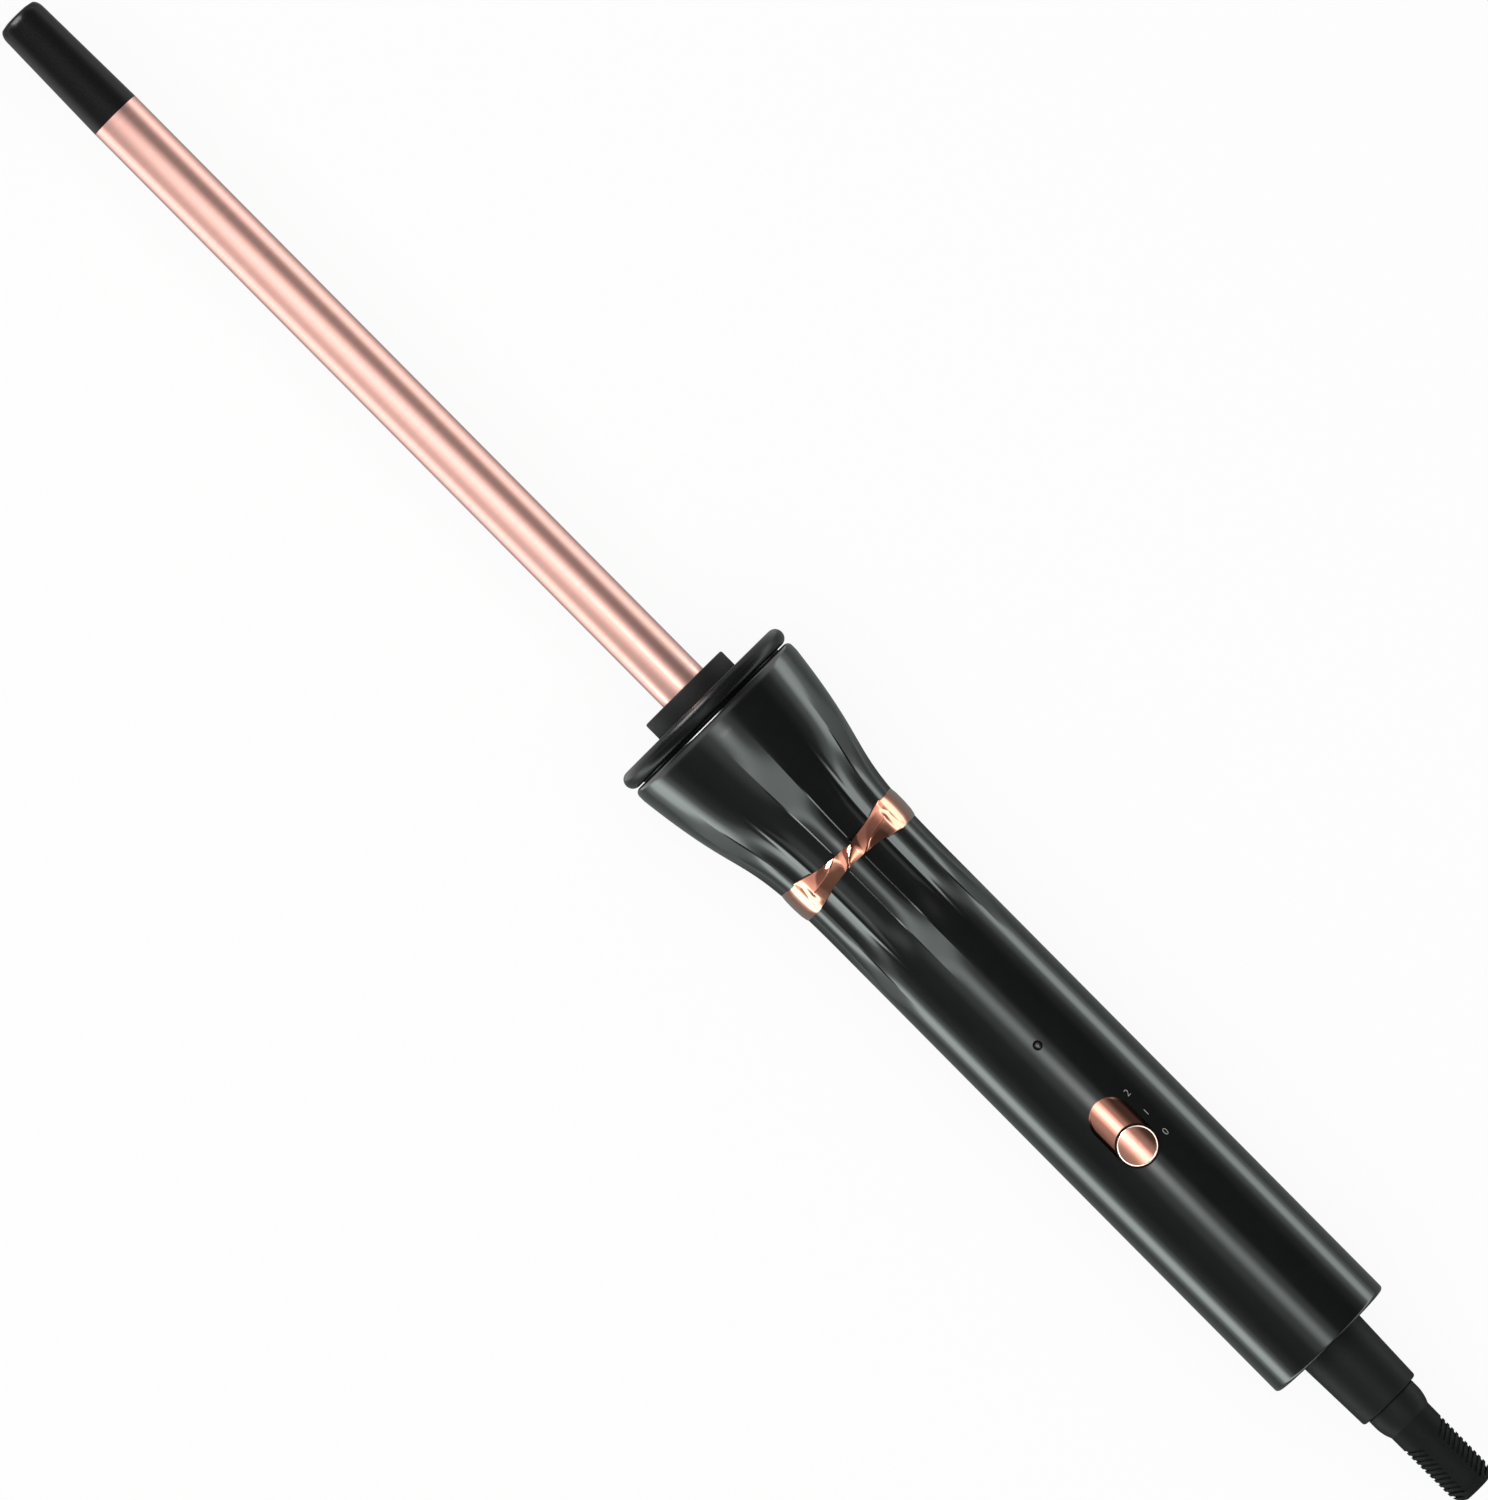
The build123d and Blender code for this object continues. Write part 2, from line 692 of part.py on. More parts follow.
# Knob: round button whose top follows the curve of the handle
with BuildPart() as switch_knob:
    with BuildSketch(Plane.XY.offset(fork_bottom_z)):
        with Locations((knob_x, 0)):
            Circle(knob_diameter / 2)
    extrude(amount=handle_radius)
    with BuildSketch(Plane.YZ.offset(knob_x)):
        Circle(handle_radius + knob_height)
    extrude(amount=knob_diameter, both=True, mode=Mode.INTERSECT)
    fillet(switch_knob.edges().group_by(Axis.Z)[-1], radius=knob_edge_radius)
    with BuildSketch(Plane.YZ.offset(knob_x)):
        Circle(plate_radius + fit_clearance)
    extrude(amount=knob_diameter, both=True, mode=Mode.SUBTRACT)
    with BuildSketch(Plane.XY.offset(plate_inner_radius)):
        with Locations((knob_x, 0)):
            Circle(peg_diameter / 2 + fit_clearance)
    extrude(amount=plate_thickness + peg_length + assembly_clearance, mode=Mode.SUBTRACT)

# Slide switch on the board, with the lever that the fork moves
with BuildPart() as switch_body:
    with BuildSketch(Plane.XY.offset(board_top_z)):
        with Locations((switch_x, 0)):
            Rectangle(switch_length, switch_width)
    extrude(amount=switch_height)
    with BuildSketch(Plane.XY.offset(switch_top_z)):
        with Locations((switch_x, 0)):
            Rectangle(
                knob_travel + actuator_length + 2 * assembly_clearance,
                actuator_width + 2 * assembly_clearance,
            )
    extrude(amount=-actuator_root - assembly_clearance, mode=Mode.SUBTRACT)

with BuildPart() as switch_actuator:
    with BuildSketch(Plane.XY.offset(switch_top_z - actuator_root)):
        with Locations((knob_x, 0)):
            Rectangle(actuator_length, actuator_width)
    extrude(amount=plate_inner_radius - fork_bridge - 2 * assembly_clearance - switch_top_z + actuator_root)

# Board and its screws
with BuildPart() as control_board:
    with BuildSketch(Plane.XY.offset(board_bottom_z)):
        with Locations(((board_front_x + board_back_x) / 2, 0)):
            Rectangle(board_front_x - board_back_x, board_width)
        with Locations(*board_screw_places):
            Circle(board_screw_diameter / 2 + fit_clearance, mode=Mode.SUBTRACT)
    extrude(amount=board_thickness)

with BuildPart() as board_screws:
    with BuildSketch(Plane.XY.offset(board_top_z)):
        with Locations(*board_screw_places):
            Circle(board_screw_diameter / 2)
    extrude(amount=assembly_clearance - board_thickness - board_screw_length)
    with BuildSketch(Plane.XY.offset(board_top_z)):
        with Locations(*board_screw_places):
            Circle(board_screw_head_diameter / 2)
    extrude(amount=board_screw_head_height)
    with BuildSketch(Plane.XY.offset(board_top_z + board_screw_head_height)):
        with Locations(*board_screw_places):
            Rectangle(board_screw_diameter, screw_cross_width)
            Rectangle(screw_cross_width, board_screw_diameter)
    extrude(amount=-board_screw_head_height / 2, mode=Mode.SUBTRACT)

# Lamp: lens flush with the handle, and the light-emitting diode below it
lens_flange_top_z = math.sqrt(cavity_radius**2 - (lens_flange_diameter / 2) ** 2) - fit_clearance
lens_bottom_z = lens_flange_top_z - lens_flange_thickness
with BuildPart() as led_lens:
    with BuildSketch(Plane.XY.offset(lens_bottom_z)):
        with Locations((lamp_x, 0)):
            Circle(lens_flange_diameter / 2)
    extrude(amount=lens_flange_thickness)
    with BuildSketch(Plane.XY.offset(lens_bottom_z)):
        with Locations((lamp_x, 0)):
            Circle(lens_diameter / 2)
    extrude(amount=handle_radius - fit_clearance - lens_bottom_z)
    fillet(led_lens.edges().group_by(Axis.Z)[-1], radius=lens_edge_radius)

led_top_z = lens_bottom_z - 2 * assembly_clearance
with BuildPart() as indicator_led:
    with BuildSketch(Plane.XY.offset(led_top_z - led_height)):
        with Locations((lamp_x, 0)):
            Circle(led_diameter / 2)
    extrude(amount=led_height)
    fillet(indicator_led.edges().group_by(Axis.Z)[-1], radius=led_dome_radius)
    with BuildSketch(Plane.XY.offset(board_top_z)):
        with Locations((lamp_x + led_pin_spacing / 2, 0), (lamp_x - led_pin_spacing / 2, 0)):
            Circle(led_pin_diameter / 2)
    extrude(amount=led_top_z - led_height - board_top_z)

# Small parts in a row across the board
with BuildPart() as led_resistor:
    with BuildSketch(Plane.YZ.offset(part_row_x - resistor_length / 2)):
        with Locations((part_row_offset, board_top_z + resistor_diameter / 2 + fit_clearance)):
            Circle(resistor_diameter / 2)
    extrude(amount=resistor_length)
    fillet(led_resistor.edges().filter_by(GeomType.CIRCLE), radius=resistor_edge_radius)

with BuildPart() as power_diode:
    with BuildSketch(Plane.YZ.offset(part_row_x - diode_length / 2)):
        with Locations((-part_row_offset, board_top_z + diode_diameter / 2 + fit_clearance)):
            Circle(diode_diameter / 2)
    extrude(amount=diode_length)
    fillet(power_diode.edges().filter_by(GeomType.CIRCLE), radius=diode_edge_radius)

# Thermal fuse in one of the heater's leads
fuse_front_x = holder_foot_x - fuse_setback
with BuildPart() as thermal_fuse:
    with BuildSketch(Plane.YZ.offset(fuse_front_x)):
        with Locations((lead_offset, 0)):
            Circle(fuse_diameter / 2)
    extrude(amount=-fuse_length)
    fillet(thermal_fuse.edges().filter_by(GeomType.CIRCLE), radius=fuse_edge_radius)

lead_start_x = -heater_tail - assembly_clearance
lead_bend_x = holder_foot_x - clamp_plate_thickness - assembly_clearance
lead_rise_x = front_boss_x
lead_land_x = board_front_x - lead_landing
with BuildPart() as heater_leads:
    sweep_leads(
        (
            (lead_start_x, -lead_pair_spacing / 2, 0),
            (lead_bend_x, -lead_pair_spacing / 2, 0),
            (fuse_front_x + lead_diameter, -lead_offset, 0),
            (lead_rise_x, -lead_offset, 0),
            (board_front_x + lead_diameter, -lead_offset, lead_on_board_z),
            (lead_land_x, -lead_offset, lead_on_board_z),
        ),
        (
            (lead_start_x, lead_pair_spacing / 2, 0),
            (lead_bend_x, lead_pair_spacing / 2, 0),
            (fuse_front_x + lead_diameter, lead_offset, 0),
            (fuse_front_x, lead_offset, 0),
        ),
        (
            (fuse_front_x - fuse_length, lead_offset, 0),
            (lead_rise_x, lead_offset, 0),
            (board_front_x + lead_diameter, lead_offset, lead_on_board_z),
            (lead_land_x, lead_offset, lead_on_board_z),
        ),
    )

# Swivel sleeve: fixed bearing whose flange is caught in the tail of the shells
sleeve_flange_x = tail_block_x - sleeve_flange_setback
with BuildPart() as swivel_sleeve:
    with BuildSketch(Plane.XZ):
        with BuildLine():
            Polyline(
                (sleeve_front_x, core_radius + running_clearance),
                (sleeve_front_x, sleeve_base_diameter / 2),
                (sleeve_flange_x, sleeve_base_diameter / 2),
                (sleeve_flange_x, sleeve_flange_diameter / 2),
                (sleeve_flange_x - sleeve_flange_thickness, sleeve_flange_diameter / 2),
                (sleeve_flange_x - sleeve_flange_thickness, sleeve_base_diameter / 2),
                (handle_end_x, sleeve_base_diameter / 2),
                (sleeve_end_x, sleeve_end_diameter / 2),
                (sleeve_end_x, core_radius + running_clearance),
                close=True,
            )
        make_face()
    revolve(axis=Axis.X)
    fillet(swivel_sleeve.edges().group_by(Axis.X)[0].sort_by(SortBy.LENGTH)[-1], radius=sleeve_edge_radius)

# Swivel core: hollow shaft with a dome behind the sleeve and a spigot in the boot
with BuildPart() as swivel_core:
    with BuildSketch(Plane.XZ):
        with BuildLine():
            Polyline(
                (dome_x - dome_straight, dome_diameter / 2),
                (dome_x, dome_diameter / 2),
                (dome_x, core_radius),
                (core_front_x, core_radius),
                (core_front_x, core_bore_diameter / 2),
                (boot_x - core_spigot_length, core_bore_diameter / 2),
                (boot_x - core_spigot_length, core_spigot_diameter / 2),
                (boot_x, core_spigot_diameter / 2),
                (boot_x, boot_front_diameter / 2),
            )
            TangentArc(
                (dome_x - dome_straight, dome_diameter / 2),
                (boot_x, boot_front_diameter / 2),
                tangent=(-1, 0),
            )
        make_face()
    revolve(axis=Axis.X)
    for ring_x in (front_ring_x, rear_ring_x):
        with BuildSketch(Plane.YZ.offset(ring_x)):
            Circle(core_diameter)
            Circle(ring_seat_radius, mode=Mode.SUBTRACT)
        extrude(amount=ring_width / 2, both=True, mode=Mode.SUBTRACT)
    with BuildSketch(Plane.YZ.offset(clip_x - fit_clearance)):
        Circle(core_diameter)
        Circle(clip_seat_radius, mode=Mode.SUBTRACT)
    extrude(amount=clip_thickness + 2 * fit_clearance, mode=Mode.SUBTRACT)

with BuildPart() as front_slip_ring:
    with BuildSketch(Plane.YZ.offset(front_ring_x)):
        Circle(ring_radius)
        Circle(ring_seat_radius + fit_clearance, mode=Mode.SUBTRACT)
    extrude(amount=ring_width / 2 - fit_clearance, both=True)

with BuildPart() as rear_slip_ring:
    with BuildSketch(Plane.YZ.offset(rear_ring_x)):
        Circle(ring_radius)
        Circle(ring_seat_radius + fit_clearance, mode=Mode.SUBTRACT)
    extrude(amount=ring_width / 2 - fit_clearance, both=True)

with BuildPart() as retaining_clip:
    with BuildSketch(Plane.YZ.offset(clip_x)):
        Circle(clip_diameter / 2)
        Circle(clip_seat_radius + fit_clearance, mode=Mode.SUBTRACT)
        Rectangle(clip_gap, clip_diameter, align=(Align.CENTER, Align.MIN), mode=Mode.SUBTRACT)
    extrude(amount=clip_thickness)

# Boot: rubber strain relief with slanted slots left and right of a smooth spine
with BuildPart() as boot_slots:
    with BuildSketch(Plane.XY):
        for slot in range(boot_slot_count):
            outer_x = boot_x - boot_slot_setback - boot_slot_pitch * slot
            outer_y = boot_front_diameter / 2 + boot_slot_depth
            inner_y = boot_spine_width / 2
            inner_x = outer_x - (outer_y - inner_y) * math.tan(math.radians(boot_slot_lean))
            with BuildLine():
                Polyline(
                    (outer_x, outer_y),
                    (outer_x - boot_slot_width, outer_y),
                    (inner_x - boot_slot_width, inner_y),
                    (inner_x, inner_y),
                    close=True,
                )
            make_face()
        mirror(about=Plane.XZ)
    extrude(amount=boot_front_diameter, both=True)
    with BuildSketch(Plane.YZ.offset(boot_end_x - boot_length)):
        Circle(boot_end_diameter / 2 - boot_slot_depth)
    extrude(amount=2 * boot_length, mode=Mode.SUBTRACT)

with BuildPart() as cord_boot:
    with BuildSketch(Plane.XZ):
        with BuildLine():
            Polyline(
                (boot_x, 0),
                (boot_x, boot_front_diameter / 2),
                (boot_end_x, boot_end_diameter / 2),
                (boot_end_x, 0),
                close=True,
            )
        make_face()
    revolve(axis=Axis.X)
    fillet(cord_boot.edges().group_by(Axis.X)[0], radius=boot_end_radius)
    with BuildSketch(Plane.YZ.offset(boot_x)):
        Circle(core_spigot_diameter / 2 + fit_clearance)
    extrude(amount=-core_spigot_length - assembly_clearance, mode=Mode.SUBTRACT)
    with BuildSketch(Plane.YZ.offset(boot_x)):
        Circle(cord_bore_diameter / 2)
    extrude(amount=-boot_length, mode=Mode.SUBTRACT)
    add(boot_slots.part, mode=Mode.SUBTRACT)

# Brushes: two spring leaves in an insulating block, one against each slip ring
brush_x = (front_ring_x + rear_ring_x) / 2
brush_top_z = -core_radius - brush_holder_gap
leaf_y = ring_radius + running_clearance + brush_leaf_thickness / 2
leaf_foot_z = brush_floor - cavity_radius
leaf_places = ((front_ring_x, leaf_y), (rear_ring_x, -leaf_y))
with BuildPart() as brush_holder:
    with BuildSketch(Plane.YZ.offset(brush_x)):
        Circle(cavity_radius - fit_clearance)
        with Locations((0, brush_top_z)):
            Rectangle(
                brush_holder_width, handle_diameter, align=(Align.CENTER, Align.MAX), mode=Mode.INTERSECT
            )
    extrude(amount=brush_holder_length / 2, both=True)
    with BuildSketch(Plane.XY.offset(brush_top_z)):
        with Locations(*leaf_places):
            Rectangle(brush_leaf_width + 2 * fit_clearance, brush_leaf_thickness + 2 * fit_clearance)
    extrude(amount=leaf_foot_z - fit_clearance - brush_top_z, mode=Mode.SUBTRACT)

with BuildPart() as brush_contacts:
    with BuildSketch(Plane.XY.offset(leaf_foot_z)):
        with Locations(*leaf_places):
            Rectangle(brush_leaf_width, brush_leaf_thickness)
    extrude(amount=brush_leaf_rise - leaf_foot_z)

supply_y = leaf_y + (brush_leaf_thickness + lead_diameter) / 2 + fit_clearance
supply_start_z = brush_top_z + lead_diameter
supply_land_x = board_back_x + lead_landing
with BuildPart() as supply_leads:
    sweep_leads(
        *[
            (
                (ring_x, side * supply_y, supply_start_z),
                (brush_x + brush_holder_length / 2, side * supply_y, supply_start_z),
                (board_back_x - lead_diameter, side * supply_y, lead_on_board_z),
                (supply_land_x, side * supply_y, lead_on_board_z),
            )
            for ring_x, side in ((front_ring_x, 1), (rear_ring_x, -1))
        ]
    )

# Every piece is written to its own file, under its own name
pieces = {
    "cool_tip": cool_tip,
    "barrel": barrel,
    "heater_plate": heater_plate,
    "upper_heat_spreader": upper_heat_spreader,
    "lower_heat_spreader": lower_heat_spreader,
    "barrel_collar": barrel_collar,
    "guard_disc": guard_disc,
    "barrel_holder": barrel_holder,
    "clamp_plate": clamp_plate,
    "clamp_screws": clamp_screws,
    "upper_shell": upper_shell,
    "lower_shell": lower_shell,
    "shell_screws": shell_screws,
    "twist_band": twist_band,
    "slider_plate": slider_plate,
    "switch_knob": switch_knob,
    "switch_body": switch_body,
    "switch_actuator": switch_actuator,
    "control_board": control_board,
    "board_screws": board_screws,
    "led_lens": led_lens,
    "indicator_led": indicator_led,
    "led_resistor": led_resistor,
    "power_diode": power_diode,
    "thermal_fuse": thermal_fuse,
    "heater_leads": heater_leads,
    "swivel_sleeve": swivel_sleeve,
    "swivel_core": swivel_core,
    "front_slip_ring": front_slip_ring,
    "rear_slip_ring": rear_slip_ring,
    "retaining_clip": retaining_clip,
    "cord_boot": cord_boot,
    "brush_holder": brush_holder,
    "brush_contacts": brush_contacts,
    "supply_leads": supply_leads,
}
os.makedirs("parts", exist_ok=True)
for name, piece in pieces.items():
    piece.part.label = name
    export_step(piece.part, f"parts/{name}.step")
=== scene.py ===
import math
import bpy
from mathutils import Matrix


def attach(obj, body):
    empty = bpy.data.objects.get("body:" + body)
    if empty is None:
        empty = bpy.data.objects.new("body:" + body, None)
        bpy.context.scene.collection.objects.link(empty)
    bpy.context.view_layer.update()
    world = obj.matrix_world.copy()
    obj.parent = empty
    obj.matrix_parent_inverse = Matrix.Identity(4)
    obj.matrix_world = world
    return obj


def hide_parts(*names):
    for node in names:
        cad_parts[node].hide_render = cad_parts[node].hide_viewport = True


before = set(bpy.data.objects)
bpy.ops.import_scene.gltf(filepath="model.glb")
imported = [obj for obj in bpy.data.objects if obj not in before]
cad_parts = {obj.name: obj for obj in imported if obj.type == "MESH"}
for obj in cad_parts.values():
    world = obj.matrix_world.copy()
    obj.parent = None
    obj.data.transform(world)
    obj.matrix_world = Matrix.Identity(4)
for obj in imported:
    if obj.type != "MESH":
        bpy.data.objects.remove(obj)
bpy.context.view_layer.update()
bpy.ops.object.select_all(action="DESELECT")

# Heater: a thin fired ceramic plate between two half-round aluminium bars that carry its heat.
# The bars are extruded, so fine drawing lines run along them, and the stack is pushed into the
# tube, where it stays by its own spring.
mm = 0.001


def worked_finish(name, light, dark, roughness, grain, relief, metallic=0.0, stretch=(1, 1, 1), sheen=0.5):
    """Return a finish that wavers between two shades, with a fine relief of the same grain."""
    finish = bpy.data.materials.new(name)
    finish.use_nodes = True
    nodes = finish.node_tree.nodes
    links = finish.node_tree.links
    shader = nodes["Principled BSDF"]
    shader.inputs["Metallic"].default_value = metallic
    shader.inputs["Specular IOR Level"].default_value = sheen
    place = nodes.new("ShaderNodeTexCoord")
    drawn = nodes.new("ShaderNodeMapping")
    drawn.inputs["Scale"].default_value = stretch
    speckle = nodes.new("ShaderNodeTexNoise")
    speckle.inputs["Scale"].default_value = grain
    speckle.inputs["Detail"].default_value = 4.0
    shade = nodes.new("ShaderNodeValToRGB")
    shade.color_ramp.elements[0].position = 0.3
    shade.color_ramp.elements[1].position = 0.7
    shade.color_ramp.elements[0].color = (*dark, 1.0)
    shade.color_ramp.elements[1].color = (*light, 1.0)
    polish = nodes.new("ShaderNodeMapRange")
    polish.inputs["To Min"].default_value = roughness * 0.8
    polish.inputs["To Max"].default_value = roughness * 1.2
    bump = nodes.new("ShaderNodeBump")
    bump.inputs["Strength"].default_value = relief
    bump.inputs["Distance"].default_value = 0.05 * mm
    links.new(place.outputs["Object"], drawn.inputs["Vector"])
    links.new(drawn.outputs["Vector"], speckle.inputs["Vector"])
    links.new(speckle.outputs["Fac"], shade.inputs["Fac"])
    links.new(speckle.outputs["Fac"], polish.inputs["Value"])
    links.new(speckle.outputs["Fac"], bump.inputs["Height"])
    links.new(shade.outputs["Color"], shader.inputs["Base Color"])
    links.new(polish.outputs["Result"], shader.inputs["Roughness"])
    links.new(bump.outputs["Normal"], shader.inputs["Normal"])
    return finish


def finish_node(name, finish):
    """Give a node of the frame its finish."""
    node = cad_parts[name]
    node.data.materials.clear()
    node.data.materials.append(finish)


fired_ceramic = worked_finish(
    "fired_ceramic", (0.86, 0.85, 0.82), (0.74, 0.73, 0.69),
    roughness=0.55, grain=2500.0, relief=0.15,
)
drawn_aluminium = worked_finish(
    "drawn_aluminium", (0.76, 0.76, 0.77), (0.62, 0.62, 0.64),
    roughness=0.34, grain=3000.0, relief=0.12, metallic=1.0, stretch=(0.03, 1, 1),
)
finish_node("heater_plate", fired_ceramic)
finish_node("upper_heat_spreader", drawn_aluminium)
finish_node("lower_heat_spreader", drawn_aluminium)

# Barrel: a drawn metal tube with a rose-gold coating that is polished round and round.
# A shoulder stops it at the collar, and its flared foot is clamped in the holder.
barrel_radius = 4.75 * mm
barrel_length = 136.8 * mm
barrel_bore = 4.05 * mm
barrel_neck = 4.5 * mm
foot_radius = 6.2 * mm
foot_front = -29.3 * mm
foot_back = -30.0 * mm
touching = 0.001 * mm


def run_along(x, radius, stations):
    """Extrude the selected ring along the wand's axis from station to station."""
    for next_x, next_radius in stations:
        bpy.ops.mesh.extrude_region_move(TRANSFORM_OT_translate={"value": (next_x - x, 0, 0)})
        grow = next_radius / radius
        bpy.ops.transform.resize(value=(1, grow, grow), center_override=(next_x, 0, 0))
        x, radius = next_x, next_radius


def turn_piece(name, stations, sides=128, closed=True, smooth_angle=35):
    """Model a turned piece from a ring that runs along the wand's axis."""
    x, radius = stations[0]
    bpy.ops.object.select_all(action="DESELECT")
    bpy.ops.mesh.primitive_circle_add(
        vertices=sides, radius=radius, location=(x, 0, 0), rotation=(0, math.pi / 2, 0)
    )
    piece = bpy.context.object
    piece.name = name
    bpy.ops.object.transform_apply(location=True, rotation=True, scale=True)
    bpy.ops.object.mode_set(mode="EDIT")
    bpy.ops.mesh.select_all(action="SELECT")
    if not closed:
        bpy.ops.mesh.edge_face_add()
        bpy.ops.mesh.select_all(action="SELECT")
    run_along(x, radius, stations[1:])
    bpy.ops.mesh.select_all(action="SELECT")
    bpy.ops.mesh.remove_doubles(threshold=touching)
    bpy.ops.mesh.normals_make_consistent(inside=False)
    bpy.ops.object.mode_set(mode="OBJECT")
    bpy.ops.object.shade_smooth_by_angle(angle=math.radians(smooth_angle))
    return piece


def dress(piece, node, body, finish):
    """Give a piece its finish, and let it stand for a node of the frame and ride on a body."""
    piece.data.materials.clear()
    piece.data.materials.append(finish)
    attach(piece, body)
    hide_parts(node)


barrel_tube = turn_piece(
    "barrel_tube",
    [
        (barrel_length, barrel_bore),
        (barrel_length, barrel_radius),
        (0, barrel_radius),
        (0, barrel_neck),
        (foot_front, barrel_neck),
        (foot_front, foot_radius),
        (foot_back, foot_radius),
        (foot_back, barrel_bore),
        (barrel_length, barrel_bore),
    ],
)
rose_coating = worked_finish(
    "rose_coating", (0.78, 0.455, 0.395), (0.74, 0.425, 0.37),
    roughness=0.2, grain=900.0, relief=0.02, metallic=1.0, stretch=(1, 0.05, 0.05),
)
dress(barrel_tube, "barrel", "handle", rose_coating)

# Cool tip: a moulded heat-proof plug in satin black, with a slight taper and a rounded end.
# Its long spigot is pressed into the open end of the barrel.
tip_end = 160.7 * mm
tip_shoulder = 158.5 * mm
tip_shoulder_radius = 4.35 * mm
tip_face_radius = 3.3 * mm
tip_crown = 0.25 * mm
tip_crown_line = ((0.06 * mm, 2.4 * mm), (0, 1.2 * mm), (0, 0.3 * mm))
tip_spigot_end = 124.8 * mm
tip_spigot_radius = 4.0 * mm
quarter_turns = (0, 15, 30, 45, 60, 75, 90)
tip_rounding = [
    (
        tip_shoulder + (tip_end - tip_crown - tip_shoulder) * math.sin(math.radians(turn)),
        tip_face_radius + (tip_shoulder_radius - tip_face_radius) * math.cos(math.radians(turn)),
    )
    for turn in quarter_turns
]
cool_end = turn_piece(
    "cool_end",
    [
        (tip_spigot_end, tip_spigot_radius),
        (barrel_length, tip_spigot_radius),
        (barrel_length, barrel_radius),
        *tip_rounding,
        *[(tip_end - below, radius) for below, radius in tip_crown_line],
    ],
    closed=False,
    smooth_angle=40,
)
satin_black = worked_finish(
    "satin_black", (0.006, 0.0062, 0.0061), (0.004, 0.0042, 0.0041),
    roughness=0.28, grain=4000.0, relief=0.08, sheen=0.13,
)
dress(cool_end, "cool_tip", "handle", satin_black)

# Barrel holder: a heat-proof bush moulded in brown resin, which keeps the hot tube off the shells.
# A steel plate and two small screws clamp the foot of the barrel in it.
brown_resin = worked_finish(
    "brown_resin", (0.1, 0.075, 0.052), (0.07, 0.055, 0.04),
    roughness=0.6, grain=1800.0, relief=0.2,
)
plated_steel = worked_finish(
    "plated_steel", (0.66, 0.66, 0.67), (0.54, 0.54, 0.55),
    roughness=0.3, grain=2500.0, relief=0.08, metallic=1.0,
)
finish_node("barrel_holder", brown_resin)
finish_node("clamp_plate", plated_steel)
finish_node("clamp_screws", plated_steel)

# Collar: a turned ring in matt black that covers the gap round the hot tube.
# Its spigot goes through the guard disc, and its front edge has a small bevel.
collar_radius = 9.0 * mm
collar_bevel = 0.3 * mm
collar_bulge = 0.09 * mm
collar_back = -3.4 * mm
collar_spigot = 6.9 * mm
collar_spigot_end = -8.6 * mm
collar_bore = 4.55 * mm
tube_collar = turn_piece(
    "tube_collar",
    [
        (0, collar_bore),
        (0, collar_radius - collar_bevel),
        (-collar_bulge, collar_radius - collar_bulge),
        (-collar_bevel, collar_radius),
        (collar_back, collar_radius),
        (collar_back, collar_spigot),
        (collar_spigot_end, collar_spigot),
        (collar_spigot_end, collar_bore),
        (0, collar_bore),
    ],
)
matt_black = worked_finish(
    "matt_black", (0.0075, 0.0078, 0.0077), (0.0055, 0.0057, 0.0056),
    roughness=0.55, grain=3500.0, relief=0.15, sheen=0.16,
)
dress(tube_collar, "barrel_collar", "handle", matt_black)

# Guard disc: a moulded satin black disc with a full round rim, which keeps fingers off the barrel.
# A ring on its back centres it in the mouth of the handle.
guard_radius = 18.575 * mm
guard_back = -6.6 * mm
guard_rim = 1.55 * mm
guard_bore = 6.95 * mm
guard_ring_outer = 15.95 * mm
guard_ring_inner = 14.35 * mm
guard_ring_end = -9.2 * mm
rim_turns = (0, 12, 24, 36, 48, 60, 72, 84, 90)
front_rim = [
    (
        collar_back - guard_rim + guard_rim * math.cos(math.radians(turn)),
        guard_radius - guard_rim + guard_rim * math.sin(math.radians(turn)),
    )
    for turn in rim_turns
]
back_rim = [(collar_back + guard_back - x, radius) for x, radius in reversed(front_rim)]
finger_guard = turn_piece(
    "finger_guard",
    [
        (collar_back, guard_bore),
        *front_rim,
        *back_rim,
        (guard_back, guard_ring_outer),
        (guard_ring_end, guard_ring_outer),
        (guard_ring_end, guard_ring_inner),
        (guard_back, guard_ring_inner),
        (guard_back, guard_bore),
        (collar_back, guard_bore),
    ],
    sides=192,
)
dress(finger_guard, "guard_disc", "handle", satin_black)

# Thermal fuse and heater leads: the fuse is a small plated can beside the foot of the barrel.
# The leads are tinned wire in white silicone sleeves, soldered to the board.
silicone_sleeve = worked_finish(
    "silicone_sleeve", (0.82, 0.81, 0.77), (0.7, 0.69, 0.65),
    roughness=0.5, grain=1500.0, relief=0.1, stretch=(0.2, 1, 1),
)
finish_node("thermal_fuse", plated_steel)
finish_node("heater_leads", silicone_sleeve)

# Lower shell: the back half of the handle, injection moulded in piano black with a polished skin.
# The pleats run from the horn to under the band and fade out along the grip. Two screws go in
# through deep recesses.
mouth_face = -6.8 * mm
mouth_bore = 16.05 * mm
mouth_radius = 18.25 * mm
lip_rounding = 1.0 * mm
lip_back = -9.0 * mm
horn_pull = -32.0 * mm
horn_pull_radius = 15.49 * mm
neck_pull = -25.0 * mm
neck = -50.0 * mm
handle_radius = 12.6 * mm
grip_rows = (-92.0 * mm, -123.0 * mm)
handle_end = -155.9 * mm
handle_edge = 0.7 * mm
tail_bore = 6.6 * mm
tail_wall = -149.4 * mm
flange_front = -150.9 * mm
flange_back = -152.9 * mm
flange_radius = 8.5 * mm
flange_play = 0.05 * mm
shell_wall = 2.2 * mm
seam = 0.03 * mm
band_place = -39.9 * mm
band_half_width = 3.1 * mm
